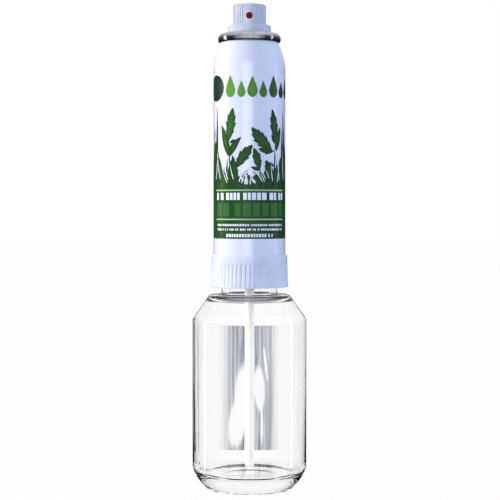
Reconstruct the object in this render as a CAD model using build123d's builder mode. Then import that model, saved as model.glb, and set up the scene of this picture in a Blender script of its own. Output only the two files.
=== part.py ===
from build123d import *

import os
from math import atan, degrees, radians, tan

# A jar sprayer: a clear glass jar, and a small aerosol can that stands on it in a screw collar.
# Millimetres, +Z up. The origin is the centre of the ring that the jar stands on.
# The nozzle faces -Y.

# ---------------------------------------------------------------- jar sizes
jar_radius = 30.2
jar_wall = 2.3
jar_floor = 8.0                  # inner floor above the standing plane
jar_straight_top = 89.3          # where the straight wall ends
jar_cone_height = 12.8
jar_ledge_radius = 21.2          # top of the conical shoulder
ledge_rise = 0.7                 # the ledge slopes up this much to the neck
standing_radius = 22.5
heel_height = 11.2
heel_crease = 14.0               # degrees that the heel leaves the wall by
push_up_radius = 19.5
push_up_depth = 1.8
neck_height = 14.5               # ledge to rim
neck_radius = 14.8
neck_wall = 2.4

# ---------------------------------------------------------------- screw thread, six turns to the inch
thread_pitch = 4.233
thread_depth = 1.2
thread_turns = 1.25
thread_root_width = 2.4
thread_crest_width = 1.2
thread_below_rim = 2.7           # rim to the centre of the jar thread's upper end
thread_sink = 0.3                # root of a thread below the wall that carries it
thread_radial_clearance = 0.3
thread_flank_clearance = 0.3
nut_thread_depth = 1.1
nut_thread_root_width = 1.8
nut_thread_crest_width = 0.9
nut_thread_lead = 90.0           # degrees that the collar's thread starts after the jar's

# ---------------------------------------------------------------- collar sizes
collar_wall = 0.92               # of the outer skirt, at its top
collar_flare = 0.5               # wider at the bottom by this much
collar_skirt_gap = 1.2           # least gap between the two skirts
collar_skirt_depth = 10.4        # below the jar's rim
collar_hold_height = 4.5         # above the can's base
collar_edge_round = 0.5
collar_inner_wall = 1.4          # inner, threaded skirt
collar_inner_lift = 0.5          # the inner skirt ends this much above the outer one
collar_web = 1.2
web_hole_clearance = 0.4
vent_radius = 0.6
vent_offset = 9.0
flute_count = 55
flute_radius = 0.75
flute_depth = 0.3                # at a flute's top
flute_fade = 0.12                # shallower by this much at its foot
flute_top_drop = 5.2             # plain band above the flutes
can_running_clearance = 0.08
can_end_play = 0.05
snap_depth = 0.45
snap_width = 1.2
snap_drop = 1.0                  # collar's top edge to the snap bead's middle
snap_clearance = 0.2

# ---------------------------------------------------------------- can sizes
can_radius = 19.0
can_wall = 0.5
can_straight_height = 100.8      # base to where the shoulder starts
can_shoulder_lean = 14.357       # degrees, from the shoulder's foot straight to its end
can_neck_width = 2.0             # shoulder's end outside the mouth
can_corner_width = 2.0
can_corner_height = 2.2
can_ring_width = 2.6             # flat ring that the can stands on
dome_height = 6.0
dome_flat_margin = 1.4           # flat of the dome outside the retaining ring
mouth_radius = 12.7              # one-inch opening
bead_radius = 1.5                # rolled edge of the mouth
bead_lift = 1.2                  # bead's centre above the shoulder's end

# ---------------------------------------------------------------- valve cup and valve sizes
cup_sheet = 0.45
cup_gasket_thickness = 0.4
cup_depth = 8.2                  # curl's top to the cup's floor
cup_clinch = 1.0                 # how far the wall is pressed out under the bead
cup_lip_angle = 60.0             # degrees that the curl reaches below the bead's middle
pedestal_height = 6.5
pedestal_step = 1.25             # pedestal outside the valve housing
stem_hole_clearance = 0.6
stem_radius = 2.0
stem_bore_radius = 0.9
stem_seal_clearance = 0.05
stem_gasket_thickness = 1.1
gasket_round = 0.35
stem_shoulder_clearance = 0.4
stem_shoulder_height = 1.8
stem_shoulder_play = 0.05
stem_pilot_step = 0.4
stem_pilot_length = 2.0
stem_port_radius = 0.35
stem_above_cup = 8.4             # pedestal's top to the stem's tip
button_travel = 1.6
housing_head_height = 4.4
housing_wall = 0.8
housing_cavity_depth = 13.0
housing_floor = 3.0
housing_port_radius = 0.8
spigot_length = 6.0
product_bore_radius = 0.8
jet_foot_radius = 1.5
jet_foot_height = 2.0
jet_pipe_radius = 0.5
jet_bore_radius = 0.25
jet_tip_drop = 1.5               # stem's tip to the jet's tip
spring_wire = 0.5
spring_inner_clearance = 0.6
spring_outer_clearance = 0.7
spring_turns = 6
fit_clearance = 0.02             # pushed-together pieces that don't move

# ---------------------------------------------------------------- tubes and tail sizes
tube_radius = 2.5
tube_bore_radius = 1.7
tube_floor_clearance = 2.3       # dip tube's end above the jar's inner floor
tail_socket_wall = 0.6
tail_hole_clearance = 0.1
tail_flange_width = 2.9
tail_flange = 1.4
tail_shank_below_web = 9.5
tail_socket_depth = 9.0
tail_gasket_thickness = 1.0
ring_sheet = 0.4
ring_width = 3.5
ring_slots = 8
ring_slot_width = 0.7
ring_slot_reach = 1.6

# ---------------------------------------------------------------- jar gasket sizes
liner_thickness = 0.9
liner_inner_margin = 0.5         # inside the neck's bore
liner_outer_clearance = 0.15

# ---------------------------------------------------------------- button and nozzle sizes
skirt_cup_clearance = 0.45
skirt_wall = 1.2
skirt_floor_clearance = 0.6      # above the cup's floor with the button pressed
skirt_above_curl = 4.3
skirt_round = 0.8
button_radius = 8.75
button_height = 10.7
button_wall = 1.3
button_roof = 1.6
button_round = 0.5
button_dish = 0.4                # depth of the finger hollow
column_wall = 1.3
column_reach = 1.6               # below the skirt's roof
rib_pitch_angle = 8.0
rib_groove_width = 0.45
rib_groove_depth = 0.28
rib_groove_lift = 0.4            # plain foot under the ribs
front_panel_angle = 24.0         # half of the smooth front
nozzle_height = 4.4              # above the skirt's top
nozzle_radius = 1.8
nozzle_length = 2.6
nozzle_recess = 0.25
nozzle_orifice_radius = 0.3
nozzle_dish_radius = 1.1
nozzle_round = 0.3
nozzle_boss_wall = 1.2
button_passage_radius = 0.6

# ---------------------------------------------------------------- heights that follow
ledge_z = jar_straight_top + jar_cone_height
rim_z = ledge_z + neck_height
web_low_z = rim_z + liner_thickness
web_high_z = web_low_z + collar_web
can_base_z = web_high_z + can_end_play
collar_low_z = rim_z - collar_skirt_depth
collar_top_z = can_base_z + collar_hold_height
snap_z = collar_top_z - snap_drop
dome_z = can_base_z + dome_height
shoulder_z = can_base_z + can_straight_height
can_neck_radius = mouth_radius + can_neck_width
can_shoulder_height = (can_radius - can_neck_radius) / tan(radians(can_shoulder_lean))
bead_z = shoulder_z + can_shoulder_height + bead_lift
bead_center_radius = mouth_radius + bead_radius
curl_inner_radius = bead_radius + cup_gasket_thickness
curl_outer_radius = curl_inner_radius + cup_sheet
curl_top_z = bead_z + curl_outer_radius
cup_floor_z = curl_top_z - cup_depth
pedestal_z = cup_floor_z + pedestal_height
housing_top_z = pedestal_z - cup_sheet - stem_gasket_thickness
cavity_floor_z = housing_top_z - housing_cavity_depth
housing_low_z = cavity_floor_z - housing_floor
stem_shoulder_z = housing_top_z - stem_shoulder_play - stem_shoulder_height
stem_tip_z = pedestal_z + stem_above_cup
skirt_low_z = cup_floor_z + button_travel + skirt_floor_clearance
skirt_top_z = curl_top_z + skirt_above_curl
button_top_z = skirt_top_z + button_height
nozzle_z = skirt_top_z + nozzle_height
floor_top_z = dome_z + can_wall
flange_low_z = floor_top_z + tail_gasket_thickness
flange_top_z = flange_low_z + tail_flange
shank_low_z = web_low_z - tail_shank_below_web
socket_top_z = shank_low_z + tail_socket_depth
dip_tube_low_z = jar_floor + tube_floor_clearance

# ---------------------------------------------------------------- radii that follow
neck_bore_radius = neck_radius - neck_wall
nut_bore_radius = neck_radius + thread_depth + thread_radial_clearance
inner_skirt_radius = nut_bore_radius + collar_inner_wall
collar_bore_radius = can_radius + can_running_clearance
outer_skirt_bore_radius = max(collar_bore_radius, inner_skirt_radius + collar_skirt_gap)
collar_top_radius = outer_skirt_bore_radius + collar_wall
collar_low_radius = collar_top_radius + collar_flare
can_ring_outer_radius = can_radius - can_corner_width
can_ring_inner_radius = can_ring_outer_radius - can_ring_width
cup_wall_radius = bead_center_radius - curl_outer_radius
skirt_radius = cup_wall_radius - skirt_cup_clearance
stem_hole_radius = stem_radius + stem_hole_clearance
stem_pilot_radius = stem_radius - stem_pilot_step
column_radius = stem_radius + column_wall
spring_coil_radius = stem_pilot_radius + spring_inner_clearance + spring_wire / 2
housing_cavity_radius = spring_coil_radius + spring_wire / 2 + spring_outer_clearance
stem_shoulder_radius = housing_cavity_radius - stem_shoulder_clearance
housing_radius = housing_cavity_radius + housing_wall
pedestal_radius = housing_radius + pedestal_step
spigot_radius = tube_bore_radius - fit_clearance
tail_shank_radius = tube_radius + tail_socket_wall
tail_flange_radius = tail_shank_radius + tail_flange_width
ring_radius = tail_shank_radius + ring_width
dome_flat_radius = ring_radius + dome_flat_margin


def turned_section(corners, rounds):
    """A closed section in the XZ plane, from its corners and the radius at each."""
    with BuildSketch(Plane.XZ) as section:
        with BuildLine():
            FilletPolyline(corners, radius=rounds, close=True)
        make_face()
    return section.sketch


def thread_ridge(root_radius, depth, root_width, crest_width):
    """A thread's ridge from angle 0, with its root sunk in the wall; negative depth points inwards."""
    sink = thread_sink if depth > 0 else -thread_sink
    with BuildPart() as ridge:
        with BuildLine() as spiral:
            Helix(pitch=thread_pitch, height=thread_turns * thread_pitch, radius=root_radius)
        start = Plane(origin=spiral.line @ 0, x_dir=(1, 0, 0), z_dir=spiral.line % 0)
        with BuildSketch(start):
            with BuildLine():
                Polyline(
                    (-sink, -root_width / 2),
                    (depth, -crest_width / 2),
                    (depth, crest_width / 2),
                    (-sink, root_width / 2),
                    close=True,
                )
            make_face()
        sweep(path=spiral.line, is_frenet=True)
    return ridge.part


# ---------------------------------------------------------------- jar
cone_lean = atan((jar_radius - jar_ledge_radius) / jar_cone_height)
inner_radius = jar_radius - jar_wall
inner_cone_low_z = jar_straight_top - jar_wall * tan(cone_lean / 2)
inner_cone_top_z = ledge_z - jar_wall
inner_ledge_radius = inner_radius - (inner_cone_top_z - inner_cone_low_z) * tan(cone_lean)
jar_thread_z = rim_z - thread_below_rim - thread_turns * thread_pitch

with BuildPart() as jar:
    with BuildSketch(Plane.XZ):
        with BuildLine():
            wall = FilletPolyline(
                (jar_radius, heel_height),
                (jar_radius, jar_straight_top),
                (jar_ledge_radius, ledge_z),
                (neck_radius, ledge_z + ledge_rise),
                (neck_radius, rim_z),
                (0, rim_z),
                radius=(3.0, 1.6, 0.6, 0.8),
            )
            heel_start = (-tan(radians(heel_crease)), -1)
            heel = TangentArc((jar_radius, heel_height), (standing_radius, 0), tangent=heel_start)
            Polyline((standing_radius, 0), (0, 0), (0, rim_z))
        make_face()
    revolve(axis=Axis.Z)
    jar_ridge = thread_ridge(neck_radius, thread_depth, thread_root_width, thread_crest_width)
    with Locations((0, 0, jar_thread_z)):
        add(jar_ridge)
    with BuildSketch(Plane.XZ):
        with BuildLine():
            FilletPolyline(
                (0, jar_floor),
                (inner_radius, jar_floor),
                (inner_radius, inner_cone_low_z),
                (inner_ledge_radius, inner_cone_top_z),
                (neck_bore_radius, inner_cone_top_z + ledge_rise),
                (neck_bore_radius, rim_z),
                radius=(3.5, 3.0, 2.0, 1.2),
            )
            Polyline((neck_bore_radius, rim_z), (0, rim_z), (0, jar_floor))
        make_face()
    revolve(axis=Axis.Z, mode=Mode.SUBTRACT)
    with BuildSketch(Plane.XZ):
        with BuildLine():
            TangentArc((0, push_up_depth), (push_up_radius, 0), tangent=(1, 0))
            Polyline((push_up_radius, 0), (0, 0), (0, push_up_depth))
        make_face()
    revolve(axis=Axis.Z, mode=Mode.SUBTRACT)

# ---------------------------------------------------------------- screw collar
web_hole_radius = tail_shank_radius + web_hole_clearance
inner_skirt_z = collar_low_z + collar_inner_lift
collar_taper = atan((collar_low_radius - collar_top_radius) / (collar_top_z - collar_low_z))
flute_top_z = collar_top_z - flute_top_drop
flute_top_surface = collar_top_radius + flute_top_drop * tan(collar_taper)
flute_length = flute_top_z - collar_low_z + flute_radius
flute_lean = collar_taper + atan(flute_fade / flute_length)
flute_start = 180 / flute_count
flank_reach = (thread_root_width + nut_thread_crest_width) / 2
nut_drop = flank_reach + thread_flank_clearance
nut_thread_z = jar_thread_z - nut_drop + thread_pitch * nut_thread_lead / 360

with BuildPart() as flute_cutter:
    Cylinder(flute_radius, flute_length, align=(Align.CENTER, Align.CENTER, Align.MAX))
    Sphere(flute_radius)

with BuildPart() as screw_collar:
    collar_corners = [
        (nut_bore_radius, inner_skirt_z),
        (inner_skirt_radius, inner_skirt_z),
        (inner_skirt_radius, web_low_z),
        (outer_skirt_bore_radius, web_low_z),
        (outer_skirt_bore_radius, collar_low_z),
        (collar_low_radius, collar_low_z),
        (collar_top_radius, collar_top_z),
        (collar_bore_radius, collar_top_z),
        (collar_bore_radius, snap_z + snap_width / 2),
        (collar_bore_radius - snap_depth, snap_z),
        (collar_bore_radius, snap_z - snap_width / 2),
        (collar_bore_radius, web_high_z),
        (web_hole_radius, web_high_z),
        (web_hole_radius, web_low_z),
        (nut_bore_radius, web_low_z),
    ]
    collar_rounds = [0] * 5 + [collar_edge_round] * 2 + [0] * 8
    add(turned_section(collar_corners, collar_rounds))
    revolve(axis=Axis.Z)
    flute_center = flute_top_surface + flute_radius - flute_depth
    with PolarLocations(flute_center, flute_count, start_angle=flute_start):
        with Locations(Location((0, 0, flute_top_z), (0, -degrees(flute_lean), 0))):
            add(flute_cutter.part, mode=Mode.SUBTRACT)
    nut_ridge = thread_ridge(
        nut_bore_radius, -nut_thread_depth, nut_thread_root_width, nut_thread_crest_width
    )
    with Locations(Location((0, 0, nut_thread_z), (0, 0, nut_thread_lead))):
        add(nut_ridge)
    with Locations((vent_offset, 0, web_high_z)):
        Hole(vent_radius, depth=collar_web)

with BuildPart() as jar_gasket:
    with BuildSketch(Plane.XY.offset(rim_z)):
        Circle(nut_bore_radius - liner_outer_clearance)
        Circle(neck_bore_radius - liner_inner_margin, mode=Mode.SUBTRACT)
    extrude(amount=liner_thickness)

# ---------------------------------------------------------------- can
groove_half = snap_width / 2 + snap_clearance
groove_radius = can_radius - snap_depth + can_running_clearance - snap_clearance
tail_hole_radius = tail_shank_radius + tail_hole_clearance

with BuildPart() as can_body:
    with BuildSketch(Plane.XZ):
        with BuildLine():
            can_wall_line = FilletPolyline(
                (tail_hole_radius, dome_z),
                (dome_flat_radius, dome_z),
                (can_ring_inner_radius, can_base_z),
                (can_ring_outer_radius, can_base_z),
                (can_radius, can_base_z + can_corner_height),
                (can_radius, snap_z - groove_half),
                (groove_radius, snap_z - groove_half / 2),
                (groove_radius, snap_z + groove_half / 2),
                (can_radius, snap_z + groove_half),
                (can_radius, shoulder_z),
                radius=(2.0, 0.9, 0.9, 1.0, 0.0, 0.0, 0.0, 0.0),
            )
            shoulder_end = (can_neck_radius, shoulder_z + can_shoulder_height)
            TangentArc((can_radius, shoulder_z), shoulder_end, tangent=(0, 1))
            offset(amount=can_wall, side=Side.LEFT)
        make_face()
        with Locations((bead_center_radius, bead_z)):
            Circle(bead_radius)
    revolve(axis=Axis.Z)

# ---------------------------------------------------------------- valve cup
lip_angle = radians(cup_lip_angle)

with BuildPart() as valve_cup:
    with BuildSketch(Plane.XZ):
        with BuildLine():
            FilletPolyline(
                (stem_hole_radius, pedestal_z),
                (pedestal_radius, pedestal_z),
                (pedestal_radius + 0.3, cup_floor_z),
                (cup_wall_radius - 0.2, cup_floor_z),
                (cup_wall_radius + cup_clinch, cup_floor_z + 2.2),
                (cup_wall_radius, cup_floor_z + 4.4),
                (cup_wall_radius, bead_z),
                radius=(0.7, 0.8, 0.8, 0.7, 0.9),
            )
            CenterArc((bead_center_radius, bead_z), curl_outer_radius, 180, -180 - cup_lip_angle)
            offset(amount=cup_sheet, side=Side.RIGHT)
        make_face()
    revolve(axis=Axis.Z)

with BuildPart() as cup_gasket:
    with BuildSketch(Plane.XZ):
        with Locations((bead_center_radius, bead_z)):
            Circle(curl_inner_radius)
            Circle(bead_radius, mode=Mode.SUBTRACT)
        with Locations((bead_center_radius, bead_z - curl_inner_radius)):
            Rectangle(2 * curl_inner_radius, 2 * curl_inner_radius, mode=Mode.SUBTRACT)
    revolve(axis=Axis.Z)

# ---------------------------------------------------------------- valve
gasket_radius = pedestal_radius - cup_sheet - fit_clearance

with BuildPart() as stem_gasket:
    with BuildSketch(Plane.XY.offset(housing_top_z)):
        Circle(gasket_radius)
        Circle(stem_radius + stem_seal_clearance, mode=Mode.SUBTRACT)
    extrude(amount=stem_gasket_thickness)
    top_edges = stem_gasket.edges().group_by(Axis.Z)[-1]
    fillet(top_edges.sort_by(SortBy.RADIUS)[-1], radius=gasket_round)

with BuildPart() as valve_housing:
    housing_corners = [
        (product_bore_radius, housing_low_z - spigot_length),
        (spigot_radius, housing_low_z - spigot_length),
        (spigot_radius, housing_low_z),
        (housing_radius, housing_low_z),
        (housing_radius, housing_top_z - housing_head_height),
        (gasket_radius, housing_top_z - housing_head_height),
        (gasket_radius, housing_top_z),
        (housing_cavity_radius, housing_top_z),
        (housing_cavity_radius, cavity_floor_z),
        (jet_foot_radius + fit_clearance, cavity_floor_z),
        (jet_foot_radius + fit_clearance, cavity_floor_z - jet_foot_height),
        (product_bore_radius, cavity_floor_z - jet_foot_height),
    ]
    add(turned_section(housing_corners, 0.0))
    revolve(axis=Axis.Z)
    with Locations(Plane.YZ.offset(housing_radius)):
        with Locations((0, cavity_floor_z + 1.5)):
            Hole(housing_port_radius, depth=housing_radius - spring_coil_radius)

with BuildPart() as venturi_jet:
    jet_low_z = cavity_floor_z - jet_foot_height
    with BuildSketch(Plane.XY.offset(jet_low_z)):
        Circle(jet_foot_radius)
    extrude(amount=jet_foot_height)
    with BuildSketch(Plane.XY.offset(cavity_floor_z)):
        Circle(jet_pipe_radius)
    extrude(amount=stem_tip_z - jet_tip_drop - button_travel - cavity_floor_z)
    with BuildSketch(Plane.XY.offset(jet_low_z)):
        Circle(jet_bore_radius)
    extrude(amount=stem_tip_z - jet_low_z, mode=Mode.SUBTRACT)

with BuildPart() as valve_stem:
    stem_corners = [
        (stem_bore_radius, stem_shoulder_z - stem_pilot_length),
        (stem_pilot_radius, stem_shoulder_z - stem_pilot_length),
        (stem_pilot_radius, stem_shoulder_z),
        (stem_shoulder_radius, stem_shoulder_z),
        (stem_shoulder_radius, stem_shoulder_z + stem_shoulder_height),
        (stem_radius, stem_shoulder_z + stem_shoulder_height),
        (stem_radius, stem_tip_z),
        (stem_bore_radius, stem_tip_z),
    ]
    add(turned_section(stem_corners, 0.0))
    revolve(axis=Axis.Z)
    stem_port_z = housing_top_z + stem_gasket_thickness / 2
    with BuildSketch(Plane.YZ.offset(-stem_radius)):
        with Locations((0, stem_port_z)):
            Circle(stem_port_radius)
    extrude(amount=2 * stem_radius, mode=Mode.SUBTRACT)

spring_low_z = cavity_floor_z + spring_wire / 2 + fit_clearance
spring_high_z = stem_shoulder_z - spring_wire / 2 - fit_clearance
spring_height = spring_high_z - spring_low_z

with BuildPart() as return_spring:
    with BuildLine() as coil:
        Helix(
            pitch=spring_height / spring_turns,
            height=spring_height,
            radius=spring_coil_radius,
            center=(0, 0, spring_low_z),
        )
    with BuildSketch(Plane(origin=coil.line @ 0, z_dir=coil.line % 0)):
        Circle(spring_wire / 2)
    sweep(path=coil.line, is_frenet=True)

# ---------------------------------------------------------------- tubes, and the fitting in the can's floor
with BuildPart() as product_tube:
    product_tube_low_z = flange_top_z + fit_clearance
    with BuildSketch(Plane.XY.offset(product_tube_low_z)):
        Circle(tube_radius)
        Circle(tube_bore_radius, mode=Mode.SUBTRACT)
    extrude(amount=housing_low_z - fit_clearance - product_tube_low_z)

with BuildPart() as tail_fitting:
    tail_corners = [
        (product_bore_radius, socket_top_z),
        (tube_radius + fit_clearance, socket_top_z),
        (tube_radius + fit_clearance, shank_low_z),
        (tail_shank_radius, shank_low_z),
        (tail_shank_radius, flange_low_z),
        (tail_flange_radius, flange_low_z),
        (tail_flange_radius, flange_top_z),
        (spigot_radius, flange_top_z),
        (spigot_radius, flange_top_z + spigot_length),
        (product_bore_radius, flange_top_z + spigot_length),
    ]
    add(turned_section(tail_corners, 0.0))
    revolve(axis=Axis.Z)

with BuildPart() as tail_gasket:
    with BuildSketch(Plane.XY.offset(floor_top_z)):
        Circle(tail_flange_radius)
        Circle(tail_shank_radius + fit_clearance, mode=Mode.SUBTRACT)
    extrude(amount=tail_gasket_thickness)

with BuildPart() as retaining_ring:
    with BuildSketch(Plane.XY.offset(dome_z - ring_sheet)):
        Circle(ring_radius)
        Circle(tail_shank_radius + fit_clearance, mode=Mode.SUBTRACT)
        with PolarLocations(tail_shank_radius + ring_slot_reach / 2, ring_slots):
            Rectangle(ring_slot_reach, ring_slot_width, mode=Mode.SUBTRACT)
    extrude(amount=ring_sheet)

with BuildPart() as dip_tube:
    with BuildSketch(Plane.XY.offset(dip_tube_low_z)):
        Circle(tube_radius)
        Circle(tube_bore_radius, mode=Mode.SUBTRACT)
    extrude(amount=socket_top_z - fit_clearance - dip_tube_low_z)

# ---------------------------------------------------------------- button and nozzle
skirt_roof_z = skirt_top_z - skirt_wall
drum_roof_z = button_top_z - button_roof
nozzle_face = button_radius - nozzle_recess
nozzle_back = nozzle_face - nozzle_length
groove_angles = 360 - 2 * front_panel_angle
groove_count = int(groove_angles / rib_pitch_angle) + 1
first_groove = -90 + front_panel_angle + (groove_angles - (groove_count - 1) * rib_pitch_angle) / 2
socket_radius = stem_radius + fit_clearance
socket_end_z = stem_tip_z + fit_clearance

with BuildPart() as actuator_button:
    drum_corners = [
        (0, skirt_low_z),
        (skirt_radius, skirt_low_z),
        (skirt_radius, skirt_top_z),
        (button_radius, skirt_top_z),
        (button_radius, button_top_z),
        (0, button_top_z),
    ]
    add(turned_section(drum_corners, [0, 0, skirt_round, 0.3, button_round, 0]))
    revolve(axis=Axis.Z)
    with BuildSketch(Plane.XY.offset(skirt_low_z)):
        Circle(skirt_radius - skirt_wall)
    extrude(amount=skirt_roof_z - skirt_low_z, mode=Mode.SUBTRACT)
    with BuildSketch(Plane.XY.offset(skirt_roof_z)):
        Circle(button_radius - button_wall)
        Circle(column_radius, mode=Mode.SUBTRACT)
    extrude(amount=drum_roof_z - skirt_roof_z, mode=Mode.SUBTRACT)
    with BuildSketch(Plane.XY.offset(skirt_roof_z - column_reach)):
        Circle(column_radius)
    extrude(amount=column_reach)
    with BuildSketch(Plane.XZ):
        with Locations((0, nozzle_z)):
            Circle(nozzle_radius + nozzle_boss_wall)
    extrude(amount=button_radius - button_wall / 2)
    with BuildSketch(Plane.XY.offset(skirt_roof_z - column_reach)):
        Circle(socket_radius)
    extrude(amount=socket_end_z - skirt_roof_z + column_reach, mode=Mode.SUBTRACT)
    with BuildSketch(Plane.XZ):
        with Locations((0, nozzle_z)):
            Circle(button_passage_radius)
    extrude(amount=button_radius, mode=Mode.SUBTRACT)
    with BuildSketch(Plane.XY.offset(socket_end_z - fit_clearance)):
        Circle(button_passage_radius)
    extrude(amount=nozzle_z - socket_end_z + fit_clearance, mode=Mode.SUBTRACT)
    with BuildSketch(Plane.XZ.offset(nozzle_back - fit_clearance)):
        with Locations((0, nozzle_z)):
            Circle(nozzle_radius + fit_clearance)
    extrude(amount=button_radius, mode=Mode.SUBTRACT)
    with BuildSketch(Plane.XZ):
        with BuildLine():
            TangentArc((0, button_top_z - button_dish), (button_radius - 1.2, button_top_z), tangent=(1, 0))
            Polyline((button_radius - 1.2, button_top_z), (0, button_top_z), (0, button_top_z - button_dish))
        make_face()
    revolve(axis=Axis.Z, mode=Mode.SUBTRACT)
    groove_arc = (groove_count - 1) * rib_pitch_angle
    with BuildSketch(Plane.XY.offset(skirt_top_z + rib_groove_lift)):
        with PolarLocations(
            button_radius, groove_count, start_angle=first_groove, angular_range=groove_arc, endpoint=True
        ):
            Rectangle(2 * rib_groove_depth, rib_groove_width)
    extrude(amount=button_height, mode=Mode.SUBTRACT)

with BuildPart() as nozzle_insert:
    with BuildSketch(Plane.XZ.offset(nozzle_back)):
        with Locations((0, nozzle_z)):
            Circle(nozzle_radius)
    extrude(amount=nozzle_length)
    fillet(nozzle_insert.edges().sort_by(Axis.Y)[0], radius=nozzle_round)
    with Locations(Plane.XZ.offset(nozzle_face)):
        with Locations((0, nozzle_z)):
            CounterSinkHole(nozzle_orifice_radius, nozzle_dish_radius)

# ---------------------------------------------------------------- one file for each piece
pieces = {
    "jar": jar,
    "screw_collar": screw_collar,
    "jar_gasket": jar_gasket,
    "can_body": can_body,
    "valve_cup": valve_cup,
    "cup_gasket": cup_gasket,
    "stem_gasket": stem_gasket,
    "valve_housing": valve_housing,
    "venturi_jet": venturi_jet,
    "valve_stem": valve_stem,
    "return_spring": return_spring,
    "product_tube": product_tube,
    "tail_fitting": tail_fitting,
    "tail_gasket": tail_gasket,
    "retaining_ring": retaining_ring,
    "dip_tube": dip_tube,
    "actuator_button": actuator_button,
    "nozzle_insert": nozzle_insert,
}
os.makedirs("parts", exist_ok=True)
for piece_name, piece in pieces.items():
    piece.part.label = piece_name
    export_step(piece.part, f"parts/{piece_name}.step")
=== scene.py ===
"""A jar sprayer dressed for a studio picture.

A clear pressed-glass jar holds the liquid, and a small aerosol can stands on it in a white screw collar.
Everything is in metres in the shared frame. The sizes inside the classes are in millimetres, because that
is how the parts are drawn, and MM turns them to metres where a mesh is made.
"""

import logging
import random
from collections.abc import Callable, Iterable, Iterator, Sequence
from contextlib import contextmanager
from dataclasses import dataclass, field
from enum import Enum
from math import atan, atan2, cos, degrees, hypot, pi, radians, sin, sqrt, tan
from typing import Any

import bmesh
import bpy
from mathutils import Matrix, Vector


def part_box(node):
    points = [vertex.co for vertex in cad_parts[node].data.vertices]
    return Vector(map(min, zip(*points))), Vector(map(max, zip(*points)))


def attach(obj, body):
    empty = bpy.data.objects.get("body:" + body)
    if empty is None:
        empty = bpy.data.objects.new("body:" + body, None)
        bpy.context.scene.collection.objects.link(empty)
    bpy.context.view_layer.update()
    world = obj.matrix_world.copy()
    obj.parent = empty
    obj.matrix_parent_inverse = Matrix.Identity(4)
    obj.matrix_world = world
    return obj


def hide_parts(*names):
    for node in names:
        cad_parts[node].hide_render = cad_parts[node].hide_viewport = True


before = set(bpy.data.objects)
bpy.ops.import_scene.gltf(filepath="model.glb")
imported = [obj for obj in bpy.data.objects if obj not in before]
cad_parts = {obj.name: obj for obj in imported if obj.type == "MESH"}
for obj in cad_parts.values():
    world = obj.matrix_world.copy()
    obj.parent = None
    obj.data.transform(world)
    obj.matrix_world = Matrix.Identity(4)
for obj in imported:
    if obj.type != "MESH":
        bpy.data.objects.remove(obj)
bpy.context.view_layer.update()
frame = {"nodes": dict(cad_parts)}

MM = 0.001

Piece = bpy.types.Object
Socket = bpy.types.NodeSocket

log = logging.getLogger("jar_sprayer")


# ---------------------------------------------------------------- small tools for materials


def linear(hex_code: str) -> tuple[float, float, float, float]:
    """Turns an sRGB hex colour, with or without its hash, into the linear one that a shader takes."""
    digits = hex_code.lstrip("#")
    shares = [int(digits[i : i + 2], 16) / 255 for i in (0, 2, 4)]
    red, green, blue = [c / 12.92 if c <= 0.04045 else ((c + 0.055) / 1.055) ** 2.4 for c in shares]
    return (red, green, blue, 1.0)


class Tree:
    """The node tree of a material or of the world, with short ways to add what is needed often."""

    def __init__(self, tree: bpy.types.NodeTree) -> None:
        """Takes a tree over, and empties it."""
        self.tree = tree
        tree.nodes.clear()

    def add(self, kind: str, inputs: dict[Any, Any] | None = None, **settings: Any) -> bpy.types.Node:
        """Adds a node.

        Args:
            kind: its type, without the ShaderNode that each begins with.
            inputs: for each input, by name or number, a constant or the socket that is linked to it.
            settings: the node's own properties.

        Returns:
            The new node.
        """
        node = self.tree.nodes.new("ShaderNode" + kind)
        for key, value in settings.items():
            setattr(node, key, value)
        for key, value in (inputs or {}).items():
            if isinstance(value, bpy.types.NodeSocket):
                self.tree.links.new(value, node.inputs[key])
            else:
                node.inputs[key].default_value = value
        return node

    def place(self, stretch: tuple[float, float, float] | None = None) -> Socket:
        """Object coordinates, scaled by a stretch where one is given."""
        place = self.add("TexCoord").outputs["Object"]
        return self.add("Mapping", {"Vector": place, "Scale": stretch}).outputs["Vector"] if stretch else place

    def noise(self, place: Socket, size: float, detail: float, roughness: float = 0.5) -> Socket:
        """A noise with patches of about size millimetres."""
        return self.add("TexNoise", {"Vector": place, "Scale": 1.0 / (size * MM), "Detail": detail,
                                     "Roughness": roughness}).outputs["Fac"]

    def ramp(self, share: Socket, *steps: tuple[float, str]) -> Socket:
        """A colour for a share, from steps that each have a place from 0 to 1 and an sRGB hex colour."""
        node = self.add("ValToRGB", {"Fac": share})
        stops = node.color_ramp.elements
        while len(stops) > 1:
            stops.remove(stops[-1])
        stops[0].position, stops[0].color = steps[0][0], linear(steps[0][1])
        for place, colour in steps[1:]:
            stops.new(place).color = linear(colour)
        return node.outputs["Color"]

    def span(self, value: Socket, low: float, high: float, start: float = 0.0, end: float = 1.0) -> Socket:
        """The value, with start to end mapped to low to high."""
        return self.add("MapRange", {"Value": value, "From Min": start, "From Max": end,
                                     "To Min": low, "To Max": high}).outputs["Result"]

    def maths(self, operation: str, *values: Any, clamp: bool = False) -> Socket:
        """The result of one operation on sockets and numbers."""
        return self.add("Math", dict(enumerate(values)), operation=operation, use_clamp=clamp).outputs["Value"]

    def blend(self, share: Socket, first: Any, second: Any) -> Socket:
        """The first colour, with a share of the second."""
        return self.add("Mix", {"Factor": share, 6: first, 7: second}, data_type="RGBA").outputs[2]

    def mix(self, share: Any, first: Socket, second: Socket) -> Socket:
        """The first shader, with a share of the second."""
        return self.add("MixShader", {"Fac": share, 1: first, 2: second}).outputs[0]

    def bump(self, height: Socket, strength: float, depth: float) -> Socket:
        """A bumped normal, with the depth in metres."""
        return self.add("Bump", {"Height": height, "Strength": strength, "Distance": depth}).outputs["Normal"]

    def glow(self, colour: Any, kind: str = "Emission") -> Socket:
        """A plain glow of one colour, as a surface or as a background."""
        return self.add(kind, {"Color": colour, "Strength": 1.0}).outputs[0]


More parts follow.
